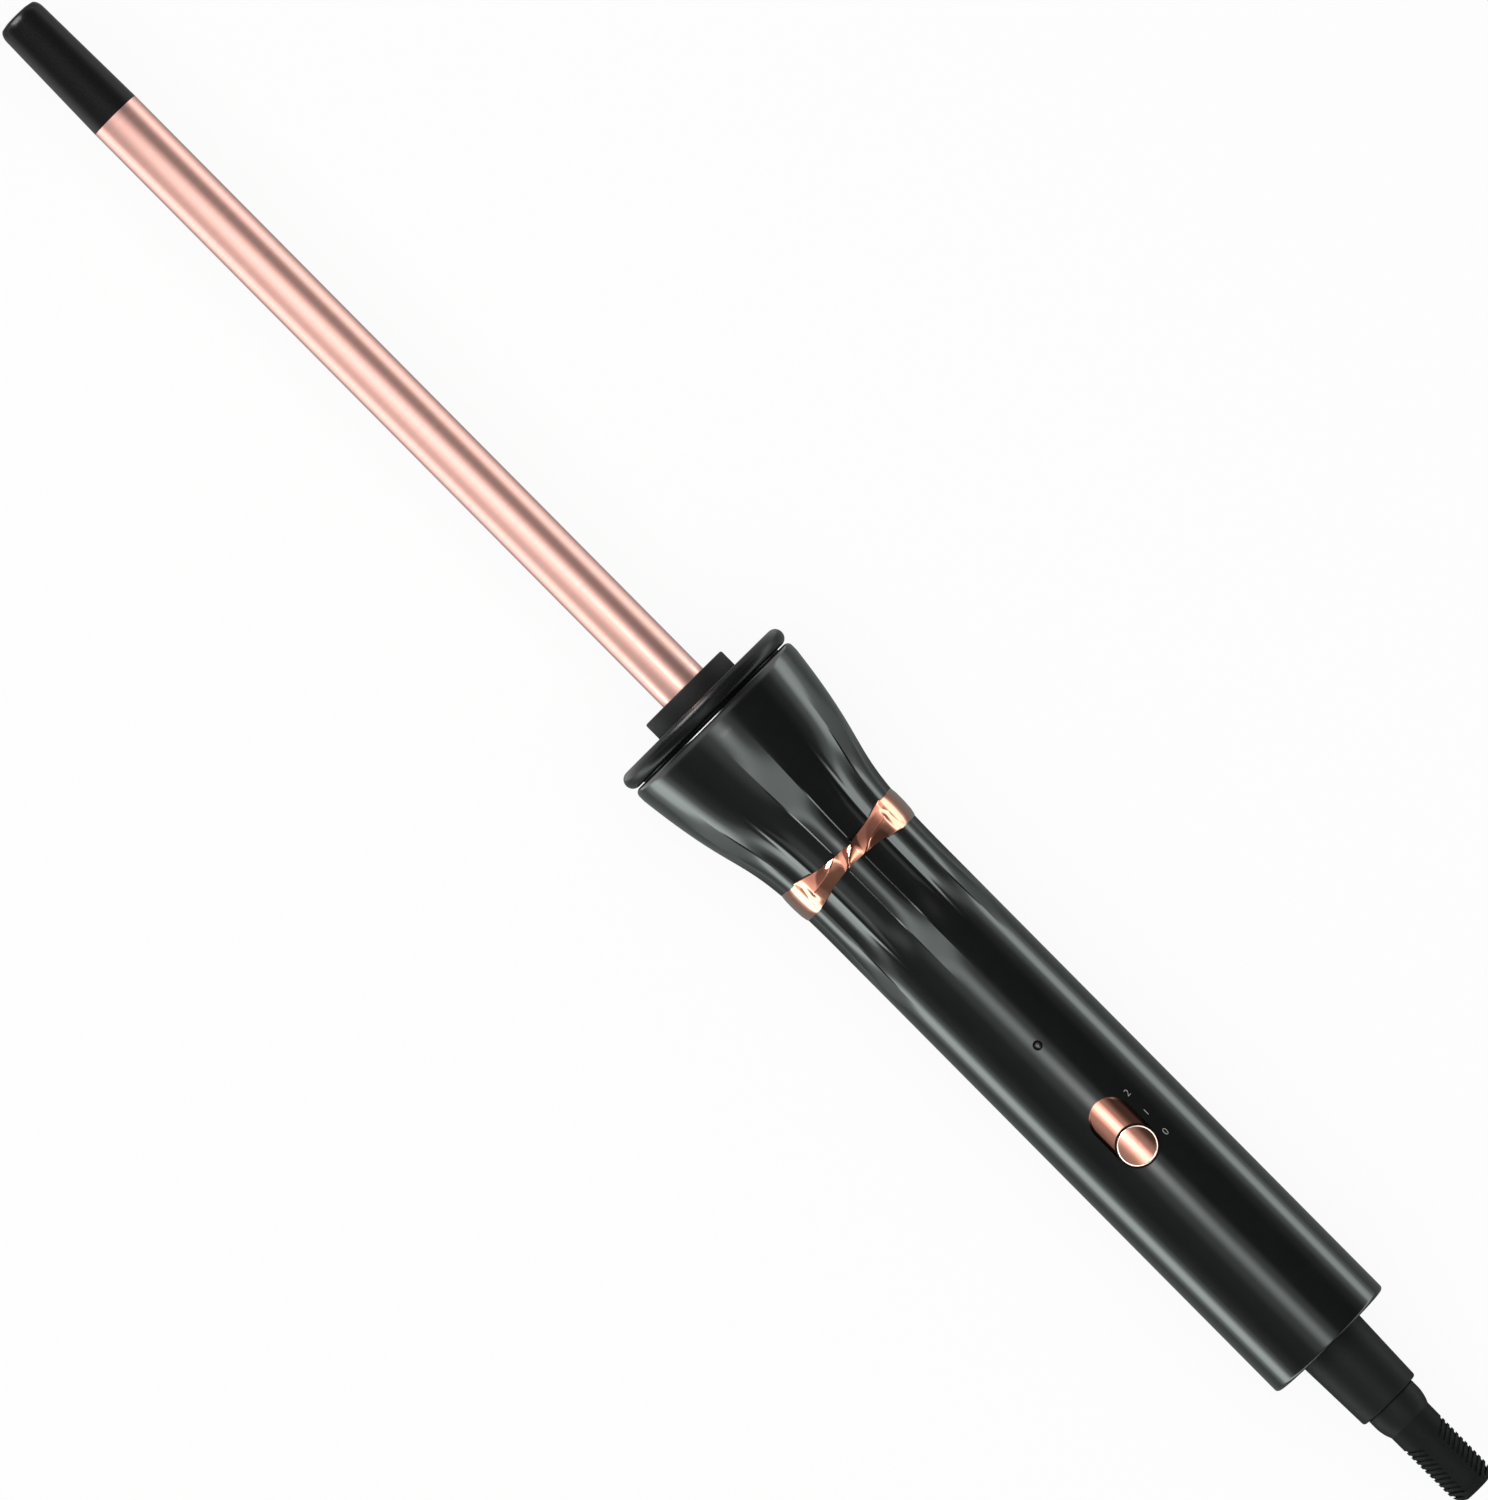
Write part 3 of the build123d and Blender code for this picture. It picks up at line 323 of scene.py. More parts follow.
pleat_end = band_place - 29.0 * mm
pleat_spacing = 60
pleat_depth = 0.62
fold_reach = (20, 6, 10, 23)
land_edge = 8
land_crown = 0.12
land_reach = (28, 18, 22, 29)
land_gap = (14, 6, 8, 21)
crease_reach = (-28, 26)
step_edge = 9
step_depth = 0.34
floor_span = 16
floor_dip = 0.27
flank_bend = 28.5
flank_depth = 0.0592
flank_slope = 0.0802
flank_curve = 0.0263
screw_places = (-54.4 * mm, -133.5 * mm)
boss_radius = 3.25 * mm
boss_foot = -11.3 * mm
boss_top = -0.1 * mm
recess_radius = 2.3 * mm
recess_mouth = -14.0 * mm
recess_floor = -8.0 * mm


def horn_point(share, inset):
    """Return a point of the horn's long S-curve, from the mouth at 0 to the neck at 1."""
    rest = 1 - share
    xs = (lip_back, horn_pull, neck_pull, neck)
    radii = (mouth_radius, horn_pull_radius, handle_radius, handle_radius)
    weights = (rest**3, 3 * rest**2 * share, 3 * rest * share**2, share**3)
    x = sum(weight * value for weight, value in zip(weights, xs))
    return (x, sum(weight * value for weight, value in zip(weights, radii)) - inset)


def eased(share):
    """Return a share held between 0 and 1, with a soft start and end."""
    share = min(max(share, 0), 1)
    return share * share * (3 - 2 * share)


def pleat_fade(x, begin, full, full_end, end):
    """Return how far a fold is formed, by mm off the band.

    It grows from begin to full ahead of the band and fades from full_end to end behind it.
    """
    ahead = (x - band_place) / mm
    return eased((begin - ahead) / (begin - full) if ahead > 0 else (end + ahead) / (end - full_end))


def pleat_cut(x, radius, fold):
    """Return the depth of the pleats in mm, by degrees off the ridge.

    A land on the ridge ends in a step, and a hollow floor and a flank lead to the fold line.
    """
    formed = pleat_fade(x, *fold_reach)
    if fold < (land_edge + step_edge) / 2:
        flat = pleat_fade(x, *land_reach) * (1 - pleat_fade(x, *land_gap))
        chord = radius / mm * (math.cos(math.radians(fold)) - math.cos(math.radians(land_edge)))
        return flat * chord + (1 - flat) * formed * land_crown * (fold / land_edge) ** 2
    floor = step_depth + floor_dip * math.sin(math.pi * min(fold - step_edge, floor_span) / floor_span)
    if fold < flank_bend:
        flank = flank_depth + flank_slope * (flank_bend - fold)
    else:
        flank = flank_curve * (pleat_spacing / 2 - fold) ** 2
    return min(formed * floor, flank)


def select_points(piece, wanted):
    """Go into edit mode with those points of a piece selected whose place is wanted."""
    bpy.ops.object.mode_set(mode="EDIT")
    bpy.ops.mesh.select_all(action="DESELECT")
    bpy.ops.object.mode_set(mode="OBJECT")
    for vertex in piece.data.vertices:
        vertex.select = wanted(vertex.co)
    bpy.ops.object.mode_set(mode="EDIT")


def cut_with(piece, cutter, operation):
    """Cut or join a piece with another body, which is used up."""
    change = piece.modifiers.new("change", "BOOLEAN")
    change.operation = operation
    change.solver = "EXACT"
    change.object = cutter
    bpy.ops.object.select_all(action="DESELECT")
    bpy.context.view_layer.objects.active = piece
    piece.select_set(True)
    bpy.ops.object.modifier_apply(modifier="change")
    bpy.data.objects.remove(cutter)


def upright_cylinder(x, radius, bottom, top, sides=64):
    """Add a cylinder along Z, at a place on the wand's axis."""
    bpy.ops.object.select_all(action="DESELECT")
    bpy.ops.mesh.primitive_cylinder_add(
        vertices=sides,
        radius=radius,
        depth=top - bottom,
        location=(x, 0, (top + bottom) / 2),
        rotation=(0, 0, math.pi / sides),
    )
    bpy.ops.object.transform_apply(location=True, rotation=True, scale=True)
    return bpy.context.object


def half_shell(name, side):
    """Model one half of the handle: a half ring runs out along the skin and back along the bore."""
    skin = [(mouth_face, mouth_bore), (mouth_face, mouth_radius - lip_rounding)]
    for turn in quarter_turns[1:]:
        skin.append(
            (
                mouth_face - lip_rounding * (1 - math.cos(math.radians(turn))),
                mouth_radius - lip_rounding * (1 - math.sin(math.radians(turn))),
            )
        )
    skin += [horn_point(step / 36, 0) for step in range(37)]
    skin += [(neck + (pleat_end - neck) * step / 14, handle_radius) for step in range(1, 15)]
    skin += [(row, handle_radius) for row in grip_rows]
    for turn in quarter_turns:
        skin.append(
            (
                handle_end + handle_edge * (1 - math.sin(math.radians(turn))),
                handle_radius - handle_edge * (1 - math.cos(math.radians(turn))),
            )
        )
    bore = [
        (handle_end, tail_bore),
        (flange_back, tail_bore),
        (flange_back, flange_radius + flange_play),
        (flange_front, flange_radius + flange_play),
        (flange_front, tail_bore),
        (tail_wall, tail_bore),
        (tail_wall, handle_radius - shell_wall),
    ]
    bore += [horn_point(1 - step / 12, shell_wall) for step in range(13)]
    x, radius = skin[0]
    bpy.ops.object.select_all(action="DESELECT")
    bpy.ops.mesh.primitive_circle_add(
        vertices=360, radius=radius, location=(x, 0, 0), rotation=(0, math.pi / 2, 0)
    )
    shell = bpy.context.object
    shell.name = name
    bpy.ops.object.transform_apply(location=True, rotation=True, scale=True)
    select_points(shell, lambda place: place.z * side < -touching)
    bpy.ops.mesh.delete(type="VERT")
    bpy.ops.mesh.select_all(action="SELECT")
    run_along(x, radius, [*skin[1:], *bore, skin[0]])
    bpy.ops.mesh.select_all(action="SELECT")
    bpy.ops.mesh.remove_doubles(threshold=touching)
    bpy.ops.mesh.select_all(action="DESELECT")
    bpy.ops.mesh.select_non_manifold()
    bpy.ops.mesh.fill()
    bpy.ops.mesh.select_all(action="SELECT")
    bpy.ops.mesh.normals_make_consistent(inside=False)
    bpy.ops.object.mode_set(mode="OBJECT")
    pleats = shell.vertex_groups.new(name="pleats")
    skin_radii = {round(x / mm, 3): radius for x, radius in skin}
    crease = {}
    for vertex in shell.data.vertices:
        radius = math.hypot(vertex.co.y, vertex.co.z)
        if abs(skin_radii.get(round(vertex.co.x / mm, 3), 0) - radius) < 2 * touching:
            turn = math.degrees(math.atan2(vertex.co.y, vertex.co.z))
            fold = abs((turn + pleat_spacing / 2) % pleat_spacing - pleat_spacing / 2)
            depth = pleat_cut(vertex.co.x, radius, fold)
            pleats.add([vertex.index], depth / pleat_depth, "REPLACE")
            ahead = (vertex.co.x - band_place) / mm
            if round(fold, 1) in (land_edge, step_edge) and crease_reach[0] < ahead < crease_reach[1]:
                crease[vertex.index] = round(fold)
    press = shell.modifiers.new("press", "DISPLACE")
    press.vertex_group = "pleats"
    press.mid_level = 0
    press.strength = -pleat_depth * mm
    bpy.ops.object.modifier_apply(modifier="press")
    bpy.context.tool_settings.mesh_select_mode = (False, True, False)
    bpy.ops.object.mode_set(mode="EDIT")
    bpy.ops.mesh.select_all(action="DESELECT")
    bpy.ops.object.mode_set(mode="OBJECT")
    for line in shell.data.edges:
        first, last = (crease.get(index) for index in line.vertices)
        line.select = first is not None and first == last
    bpy.ops.object.mode_set(mode="EDIT")
    bpy.ops.mesh.mark_sharp()
    bpy.ops.object.mode_set(mode="OBJECT")
    bpy.context.tool_settings.mesh_select_mode = (True, False, False)
    select_points(shell, lambda place: abs(place.z) < touching)
    bpy.ops.transform.translate(value=(0, 0, side * seam))
    bpy.ops.object.mode_set(mode="OBJECT")
    return shell


back_shell = half_shell("back_shell", -1)
for screw_place in screw_places:
    boss = upright_cylinder(screw_place, boss_radius, boss_foot, boss_top)
    cut_with(back_shell, boss, "UNION")
    recess = upright_cylinder(screw_place, recess_radius, recess_mouth, recess_floor)
    cut_with(back_shell, recess, "DIFFERENCE")
bpy.ops.object.shade_smooth_by_angle(angle=math.radians(35))
piano_black = worked_finish(
    "piano_black", (0.0045, 0.0047, 0.0045), (0.0035, 0.0037, 0.0035),
    roughness=0.13, grain=260.0, relief=0.003,
)
dress(back_shell, "lower_shell", "handle", piano_black)

# Board: glass-fibre laminate with green solder mask, on two posts of the lower shell.
# Slide switch, lamp, resistor and diode are soldered to it.
solder_mask = worked_finish(
    "solder_mask", (0.035, 0.22, 0.1), (0.02, 0.16, 0.07),
    roughness=0.35, grain=1200.0, relief=0.1,
)
switch_moulding = worked_finish(
    "switch_moulding", (0.14, 0.14, 0.15), (0.1, 0.1, 0.11),
    roughness=0.5, grain=2500.0, relief=0.15,
)
lamp_epoxy = worked_finish(
    "lamp_epoxy", (0.6, 0.035, 0.025), (0.48, 0.025, 0.018),
    roughness=0.15, grain=900.0, relief=0.02,
)
tan_lacquer = worked_finish(
    "tan_lacquer", (0.66, 0.53, 0.36), (0.55, 0.44, 0.3),
    roughness=0.3, grain=1800.0, relief=0.1,
)
diode_epoxy = worked_finish(
    "diode_epoxy", (0.035, 0.035, 0.036), (0.024, 0.024, 0.025),
    roughness=0.35, grain=2200.0, relief=0.1,
)
finish_node("control_board", solder_mask)
finish_node("board_screws", plated_steel)
finish_node("switch_body", switch_moulding)
finish_node("switch_actuator", switch_moulding)
finish_node("indicator_led", lamp_epoxy)
finish_node("led_resistor", tan_lacquer)
finish_node("power_diode", diode_epoxy)

# Slider plate: a curved strip in rose-gold plating that fills the switch slot at every setting.
# A peg carries the knob and a fork below it moves the lever of the switch.


def smoothed_copy(node, name, smooth_angle=30):
    """Return a piece made from a node's own shape, with its facets merged and shaded smooth."""
    bpy.ops.object.select_all(action="DESELECT")
    piece = bpy.data.objects.new(name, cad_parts[node].data.copy())
    bpy.context.scene.collection.objects.link(piece)
    bpy.context.view_layer.objects.active = piece
    piece.select_set(True)
    bpy.ops.object.mode_set(mode="EDIT")
    bpy.ops.mesh.select_all(action="SELECT")
    bpy.ops.mesh.customdata_custom_splitnormals_clear()
    bpy.ops.mesh.remove_doubles(threshold=0.0005 * mm)
    bpy.ops.mesh.tris_convert_to_quads(face_threshold=0.02, shape_threshold=3.0)
    bpy.ops.object.mode_set(mode="OBJECT")
    bpy.ops.object.shade_smooth_by_angle(angle=math.radians(smooth_angle))
    return piece


def lacquer(finish):
    """Lay a clear hard lacquer over a plated finish."""
    shader = finish.node_tree.nodes["Principled BSDF"]
    shader.inputs["Coat Weight"].default_value = 1.0
    shader.inputs["Coat Roughness"].default_value = 0.05
    shader.inputs["Coat IOR"].default_value = 1.6


slot_floor = smoothed_copy("slider_plate", "slot_floor")
rose_plating = worked_finish(
    "rose_plating", (0.46, 0.155, 0.1), (0.4, 0.135, 0.088),
    roughness=0.1, grain=1500.0, relief=0.02, metallic=1.0, stretch=(0.1, 1, 1),
)
lacquer(rose_plating)
dress(slot_floor, "slider_plate", "slider", rose_plating)

# Knob: a round button in rose-gold plating whose top follows the curve of the handle.
# The top is brushed along the handle. The turned edge is given a lighter plating as a painted highlight, and
# the groove round the foot a near-black finish as painted shade.
knob_place = -109.0 * mm
knob_radius = 3.82 * mm
knob_top = 13.6 * mm
knob_foot = 11.55 * mm
knob_groove = 0.37 * mm
knob_groove_depth = 0.9 * mm
knob_edge = 0.17 * mm
knob_face = knob_radius - knob_groove - knob_edge
face_depth = 0.06 * mm
face_slope = 0.05 * mm
face_rings = (0.85, 0.65, 0.45, 0.25, 0.05)
ring_margin = 0.01 * mm
round_knob = turn_piece(
    "round_knob",
    [
        (knob_foot, knob_radius),
        (knob_top - knob_groove_depth, knob_radius),
        (knob_top - knob_groove_depth, knob_radius - knob_groove),
        (knob_top - knob_edge, knob_radius - knob_groove),
        (knob_top, knob_face),
        (knob_top - face_depth, knob_face - face_slope),
        *[(knob_top - face_depth, knob_face * share) for share in face_rings],
    ],
    sides=96,
    closed=False,
)
round_knob.rotation_euler = (0, -math.pi / 2, 0)
round_knob.location = (knob_place, 0, 0)
bpy.ops.object.transform_apply(location=True, rotation=True, scale=True)
curve = round_knob.vertex_groups.new(name="curve")
knob_drop = knob_top - math.sqrt(knob_top**2 - knob_radius**2)
for vertex in round_knob.data.vertices:
    drop = knob_top - math.sqrt(knob_top**2 - vertex.co.y**2)
    curve.add([vertex.index], drop / knob_drop, "REPLACE")
bow = round_knob.modifiers.new("bow", "DISPLACE")
bow.direction = "Z"
bow.vertex_group = "curve"
bow.mid_level = 0
bow.strength = -knob_drop
bpy.ops.object.modifier_apply(modifier="bow")
brushed_rose = worked_finish(
    "brushed_rose", (0.44, 0.16, 0.11), (0.36, 0.126, 0.086),
    roughness=0.12, grain=9000.0, relief=0.03, metallic=1.0, stretch=(0.03, 1, 1),
)
lacquer(brushed_rose)
# Painted highlight: a lighter plating on the turned edge, so that the rim reads bright from every side.
painted_highlight_edge = worked_finish(
    "painted_highlight_edge", (0.66, 0.51, 0.45), (0.6, 0.46, 0.4),
    roughness=0.3, grain=3000.0, relief=0.02, metallic=1.0,
)
# Painted shade: a near-black finish in the groove round the foot of the knob, for the shade in the gap beside
# the slot.
painted_shade_groove = worked_finish(
    "painted_shade_groove", (0.012, 0.005, 0.004), (0.008, 0.003, 0.0025),
    roughness=0.6, grain=3000.0, relief=0.02, sheen=0.05,
)
dress(round_knob, "switch_knob", "slider", brushed_rose)
for inner, outer, finish in (
    (knob_face, knob_radius - knob_groove, painted_highlight_edge),
    (knob_radius - knob_groove, knob_radius, painted_shade_groove),
):
    round_knob.data.materials.append(finish)
    round_knob.active_material_index = len(round_knob.data.materials) - 1
    bpy.context.tool_settings.mesh_select_mode = (False, False, True)
    bpy.ops.object.mode_set(mode="EDIT")
    bpy.ops.mesh.select_all(action="DESELECT")
    bpy.ops.object.mode_set(mode="OBJECT")
    for face in round_knob.data.polygons:
        reach = math.hypot(face.center.x - knob_place, face.center.y)
        face.select = inner + ring_margin < reach < outer + ring_margin
    bpy.ops.object.mode_set(mode="EDIT")
    bpy.ops.object.material_slot_assign()
    bpy.ops.object.mode_set(mode="OBJECT")
    bpy.context.tool_settings.mesh_select_mode = (True, False, False)

# Upper shell: the front half of the handle, in the same piano black moulding as the back half.
# The switch slot and the lamp hole go through it, and a pocket behind the slot guides the plate.
slot_radius = 3.85 * mm
knob_travel = 6.2 * mm
pocket_radius = 11.6 * mm
pocket_half_width = 5.3 * mm
pocket_back = -120.4 * mm
pocket_front = -91.4 * mm
pocket_floor = 6.0 * mm
lamp_place = -85.1 * mm
lamp_hole = 0.9 * mm
lamp_sides = 48
hole_bottom = 5.0 * mm
hole_top = 16.0 * mm
front_shell = half_shell("front_shell", 1)
slot_cutter = upright_cylinder(knob_place, slot_radius, hole_bottom, hole_top)
select_points(slot_cutter, lambda place: place.x > knob_place)
bpy.ops.transform.translate(value=(knob_travel, 0, 0))
bpy.ops.object.mode_set(mode="OBJECT")
cut_with(front_shell, slot_cutter, "DIFFERENCE")
lamp_cutter = upright_cylinder(lamp_place, lamp_hole, hole_bottom, hole_top, lamp_sides)
cut_with(front_shell, lamp_cutter, "DIFFERENCE")
bpy.ops.object.select_all(action="DESELECT")
bpy.ops.mesh.primitive_cylinder_add(
    vertices=256,
    radius=pocket_radius,
    depth=pocket_front - pocket_back,
    location=((pocket_front + pocket_back) / 2, 0, 0),
    rotation=(0, math.pi / 2, 0),
)
bpy.ops.object.transform_apply(location=True, rotation=True, scale=True)
pocket_cutter = bpy.context.object
bpy.ops.object.mode_set(mode="EDIT")
for cut_place, cut_normal in (
    ((0, pocket_half_width, 0), (0, 1, 0)),
    ((0, -pocket_half_width, 0), (0, -1, 0)),
    ((0, 0, pocket_floor), (0, 0, -1)),
):
    bpy.ops.mesh.select_all(action="SELECT")
    bpy.ops.mesh.bisect(plane_co=cut_place, plane_no=cut_normal, use_fill=True, clear_outer=True)
bpy.ops.object.mode_set(mode="OBJECT")
cut_with(front_shell, pocket_cutter, "DIFFERENCE")
bpy.ops.object.shade_smooth_by_angle(angle=math.radians(35))
dress(front_shell, "upper_shell", "handle", piano_black)

# Heat marks: the figures 0, 1 and 2 beside the slot, printed in thin pale grey ink.
# They stand with their tops towards the tip.
mark_places = (("0", -110.7 * mm), ("1", -106.1 * mm), ("2", -101.5 * mm))
mark_height = 1.3 * mm
figure_share = 0.7
ink_thinning = 0.045 * mm
ink_thickness = 0.01 * mm
mark_offset = 5.1 * mm
mark_tilt = math.asin(mark_offset / handle_radius)
mark_pieces = []
for figure, mark_place in mark_places:
    bpy.ops.object.select_all(action="DESELECT")
    bpy.ops.object.text_add()
    mark = bpy.context.object
    mark.data.body = figure
    mark.data.size = mark_height / figure_share
    mark.data.align_x = "CENTER"
    mark.data.align_y = "CENTER"
    mark.data.offset = -ink_thinning
    mark.data.extrude = ink_thickness
    bpy.ops.object.convert(target="MESH")
    mark.rotation_euler = (0, 0, -math.pi / 2)
    bpy.ops.object.transform_apply(location=True, rotation=True, scale=True)
    mark.rotation_euler = (mark_tilt, 0, 0)
    mark.location = (mark_place, -handle_radius * math.sin(mark_tilt), handle_radius * math.cos(mark_tilt))
    bpy.ops.object.transform_apply(location=True, rotation=True, scale=True)
    mark_pieces.append(mark)
bpy.ops.object.select_all(action="DESELECT")
for mark in mark_pieces:
    mark.select_set(True)
bpy.context.view_layer.objects.active = mark_pieces[0]
bpy.ops.object.join()
heat_marks = bpy.context.object
heat_marks.name = "heat_marks"
grey_ink = worked_finish(
    "grey_ink", (0.5, 0.51, 0.5), (0.4, 0.41, 0.4),
    roughness=0.5, grain=6000.0, relief=0.05,
)
heat_marks.data.materials.clear()
heat_marks.data.materials.append(grey_ink)
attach(heat_marks, "handle")

# Lamp window: a small dark clear plug with a domed end, snapped into the lamp hole from behind.
# The red lamp only shows through it when it is lit.
window_radius = 0.85 * mm
window_foot = 9.43 * mm
window_top = 12.4 * mm
window_dome = 0.6 * mm
window_flange_radius = 1.6 * mm
window_flange_top = 10.22 * mm
lamp_window = upright_cylinder(lamp_place, window_radius, window_foot, window_top, lamp_sides)
lamp_window.name = "lamp_window"
select_points(lamp_window, lambda place: place.z > window_top - window_dome)
bpy.ops.mesh.bevel(offset=window_dome, segments=6, affect="EDGES")
bpy.ops.object.mode_set(mode="OBJECT")
window_flange = upright_cylinder(lamp_place, window_flange_radius, window_foot, window_flange_top, lamp_sides)
cut_with(lamp_window, window_flange, "UNION")
bpy.ops.object.shade_smooth_by_angle(angle=math.radians(40))
dark_window = worked_finish(
    "dark_window", (0.016, 0.014, 0.014), (0.011, 0.01, 0.01),
    roughness=0.06, grain=800.0, relief=0.01,
)
dress(lamp_window, "led_lens", "handle", dark_window)

# Twist band: a plated ring with a crowned section round the neck, pinched to a waist at the front.
# A four-edged bar with hollow flanks runs across the front and is twisted half a turn in the
# waist, like a ribbon. The ring lies lower under the bar.
band_waist = 1.5
band_flare = 0.0155
band_middle = 13.15
band_sides = 240
band_sink = 0.28
band_sink_edge = 10.4
band_sink_ease = 1.5
band_hide = 0.55
band_hide_edge = 7.5
band_hide_ease = 2
pad_middle = 51
pad_reach = 7
band_section = (
    (3.1, 12.62), (3.1, 12.95), (2.75, 13.07), (1.8, 13.16), (0, 13.17), (-1.8, 13.06), (-2.75, 12.87),
    (-3.1, 12.72), (-3.1, 12.6), (3.1, 12.62),
)


def waist_width(across):
    """Return the half width of the band in mm at a distance across the front."""
    return min(band_half_width / mm, band_waist + band_flare * across**2)


band_ring = turn_piece(
    "band_ring",
    [(band_place + ahead * mm, radius * mm) for ahead, radius in band_section],
    sides=band_sides,
)
for column in range(-45, 46):
    column_turn = 2 * math.pi * column / band_sides
    across = abs(band_middle * math.sin(column_turn))
    sunk = band_sink * eased((band_sink_edge - across) / band_sink_ease)
    sunk += band_hide * eased((band_hide_edge - across) / band_hide_ease)
    shrink = 1 - sunk / band_middle
    off_pad = abs(abs(math.degrees(column_turn)) - pad_middle)
    if off_pad < pad_reach:
        shrink *= math.cos(math.radians(pad_reach)) / math.cos(math.radians(off_pad))
    narrow = waist_width(across) * mm / band_half_width
    select_points(
        band_ring,
        lambda place: place.z > 0 and abs(math.atan2(place.y, place.z) - column_turn) < 0.005,
    )
    bpy.ops.transform.resize(value=(narrow, shrink, shrink), center_override=(band_place, 0, 0))
    bpy.ops.object.mode_set(mode="OBJECT")
bpy.ops.object.shade_smooth_by_angle(angle=math.radians(30))

bar_radius = 13.0
bar_reach = 10.6
bar_height = 0.62
bar_end_height = 0.16
bar_flattening = 8.3
bar_flat_ease = 1.1
bar_end_drop = 0.14
bar_drop_start = 7
bar_sides = 64
bar_hollow = 0.88
bar_steps = 140
twist_length = 4.2
twist_rate = 1.5
edge_power = 8


def bar_section(across):
    """Return the half width, half height, lean, turn and drop of the bar at a distance across."""
    turn = math.radians(90 - 90 * math.tanh(across / twist_length) - twist_rate * across)
    widest = (math.cos(turn) ** edge_power + math.sin(turn) ** edge_power) ** (1 / edge_power)
    flat = eased((abs(across) - bar_flattening) / bar_flat_ease)
    height = bar_height + (bar_end_height - bar_height) * flat
    drop = bar_end_drop * max((abs(across) - bar_drop_start) / (bar_reach - bar_drop_start), 0)
    lean = math.asin(across / bar_radius)
    return (waist_width(across) / widest, height / widest, lean, turn, drop * mm)


def off_edge(place):
    """Return the angle of a point of the bar's first ring off the nearest of the four edges."""
    angle = math.atan2(place.z - bar_radius * mm, place.x - band_place) % (math.pi / 2)
    return min(angle, math.pi / 2 - angle)


def swing(angle, axis, centre):
    """Turn the selected points about an axis through a centre, anticlockwise seen against the axis."""
    bpy.ops.transform.rotate(value=-angle, orient_axis=axis, orient_type="GLOBAL", center_override=centre)


bar_centre = (band_place, 0, bar_radius * mm)
bpy.ops.object.select_all(action="DESELECT")
bpy.ops.mesh.primitive_circle_add(
    vertices=bar_sides, radius=1 * mm, fill_type="NGON", location=bar_centre, rotation=(math.pi / 2, 0, 0)
)
twisted_bar = bpy.context.object
bpy.ops.object.transform_apply(location=True, rotation=True, scale=True)
for step in range(bar_sides // 8 + 1):
    angle = 2 * math.pi * step / bar_sides
    select_points(twisted_bar, lambda place: abs(off_edge(place) - angle) < 0.01)
    inset = (math.cos(angle) ** bar_hollow + math.sin(angle) ** bar_hollow) ** (-1 / bar_hollow)
    bpy.ops.transform.resize(value=(inset, inset, inset), center_override=bar_centre)
bpy.ops.mesh.select_all(action="SELECT")
width, height, lean, turn, drop = (1, 1, 0, 0, 0)
for step in range(bar_steps + 1):
    if step > 0:
        bpy.ops.mesh.extrude_region_move(TRANSFORM_OT_translate={"value": (0, 0, 0)})
    section = bar_section(bar_reach * (1 - 2 * step / bar_steps))
    swing(-lean, "X", (0, 0, 0))
    bpy.ops.transform.translate(value=(0, 0, drop))
    bpy.ops.transform.resize(value=(1 / width, 1, 1 / height), center_override=bar_centre)
    swing(turn - section[3], "Y", bar_centre)
    width, height, lean, turn, drop = section
    bpy.ops.transform.resize(value=(width, 1, height), center_override=bar_centre)
    bpy.ops.transform.translate(value=(0, 0, -drop))
    swing(lean, "X", (0, 0, 0))
bpy.ops.mesh.select_all(action="SELECT")
bpy.ops.mesh.normals_make_consistent(inside=False)
bpy.ops.object.mode_set(mode="OBJECT")
bpy.ops.object.shade_smooth_by_angle(angle=math.radians(60))
band_ring.select_set(True)
bpy.context.view_layer.objects.active = band_ring
bpy.ops.object.join()
polished_rose = worked_finish(
    "polished_rose", (0.56, 0.19, 0.11), (0.5, 0.17, 0.1),
    roughness=0.12, grain=1500.0, relief=0.02, metallic=1.0, stretch=(1, 0.1, 1),
)
lacquer(polished_rose)
dress(band_ring, "twist_band", "handle", polished_rose)

# Shell screws: two plated cross-headed screws that draw the halves together.
# They are driven from the back and sit deep in their recesses.
case_screws = smoothed_copy("shell_screws", "case_screws")
dress(case_screws, "shell_screws", "handle", plated_steel)

# Swivel sleeve: a moulded bearing bush in matt black, caught by its flange between the shells.
# It narrows slightly towards the cord.
sleeve_front = -148.4 * mm
sleeve_end = -170.2 * mm
sleeve_bore = 4.55 * mm
sleeve_base = 6.55 * mm
sleeve_tail = 6.1 * mm
sleeve_edge = 0.5 * mm
sleeve_rounding = [
    (
        sleeve_end + sleeve_edge * (1 - math.sin(math.radians(turn))),
        sleeve_tail - sleeve_edge * (1 - math.cos(math.radians(turn))),
    )
    for turn in quarter_turns
]
bearing_sleeve = turn_piece(
    "bearing_sleeve",
    [
        (sleeve_front, sleeve_bore),
        (sleeve_front, sleeve_base),
        (flange_front, sleeve_base),
        (flange_front, flange_radius),
        (flange_back, flange_radius),
        (flange_back, sleeve_base),
        (handle_end, sleeve_base),
        *sleeve_rounding,
        (sleeve_end, sleeve_bore),
        (sleeve_front, sleeve_bore),
    ],
)
dress(bearing_sleeve, "swivel_sleeve", "handle", matt_black)

# Swivel core: a hollow shaft that turns in the sleeve, with the dome that shows behind it.
# Two brass slip rings sit in its grooves, and a spring clip stops it from pulling out.
turning_core = smoothed_copy("swivel_core", "turning_core")
dress(turning_core, "swivel_core", "swivel", matt_black)
plain_brass = worked_finish(
    "plain_brass", (0.8, 0.61, 0.3), (0.68, 0.5, 0.23),
    roughness=0.28, grain=1500.0, relief=0.06, metallic=1.0, stretch=(1, 0.1, 0.1),
)
finish_node("front_slip_ring", plain_brass)
finish_node("rear_slip_ring", plain_brass)
finish_node("retaining_clip", plated_steel)

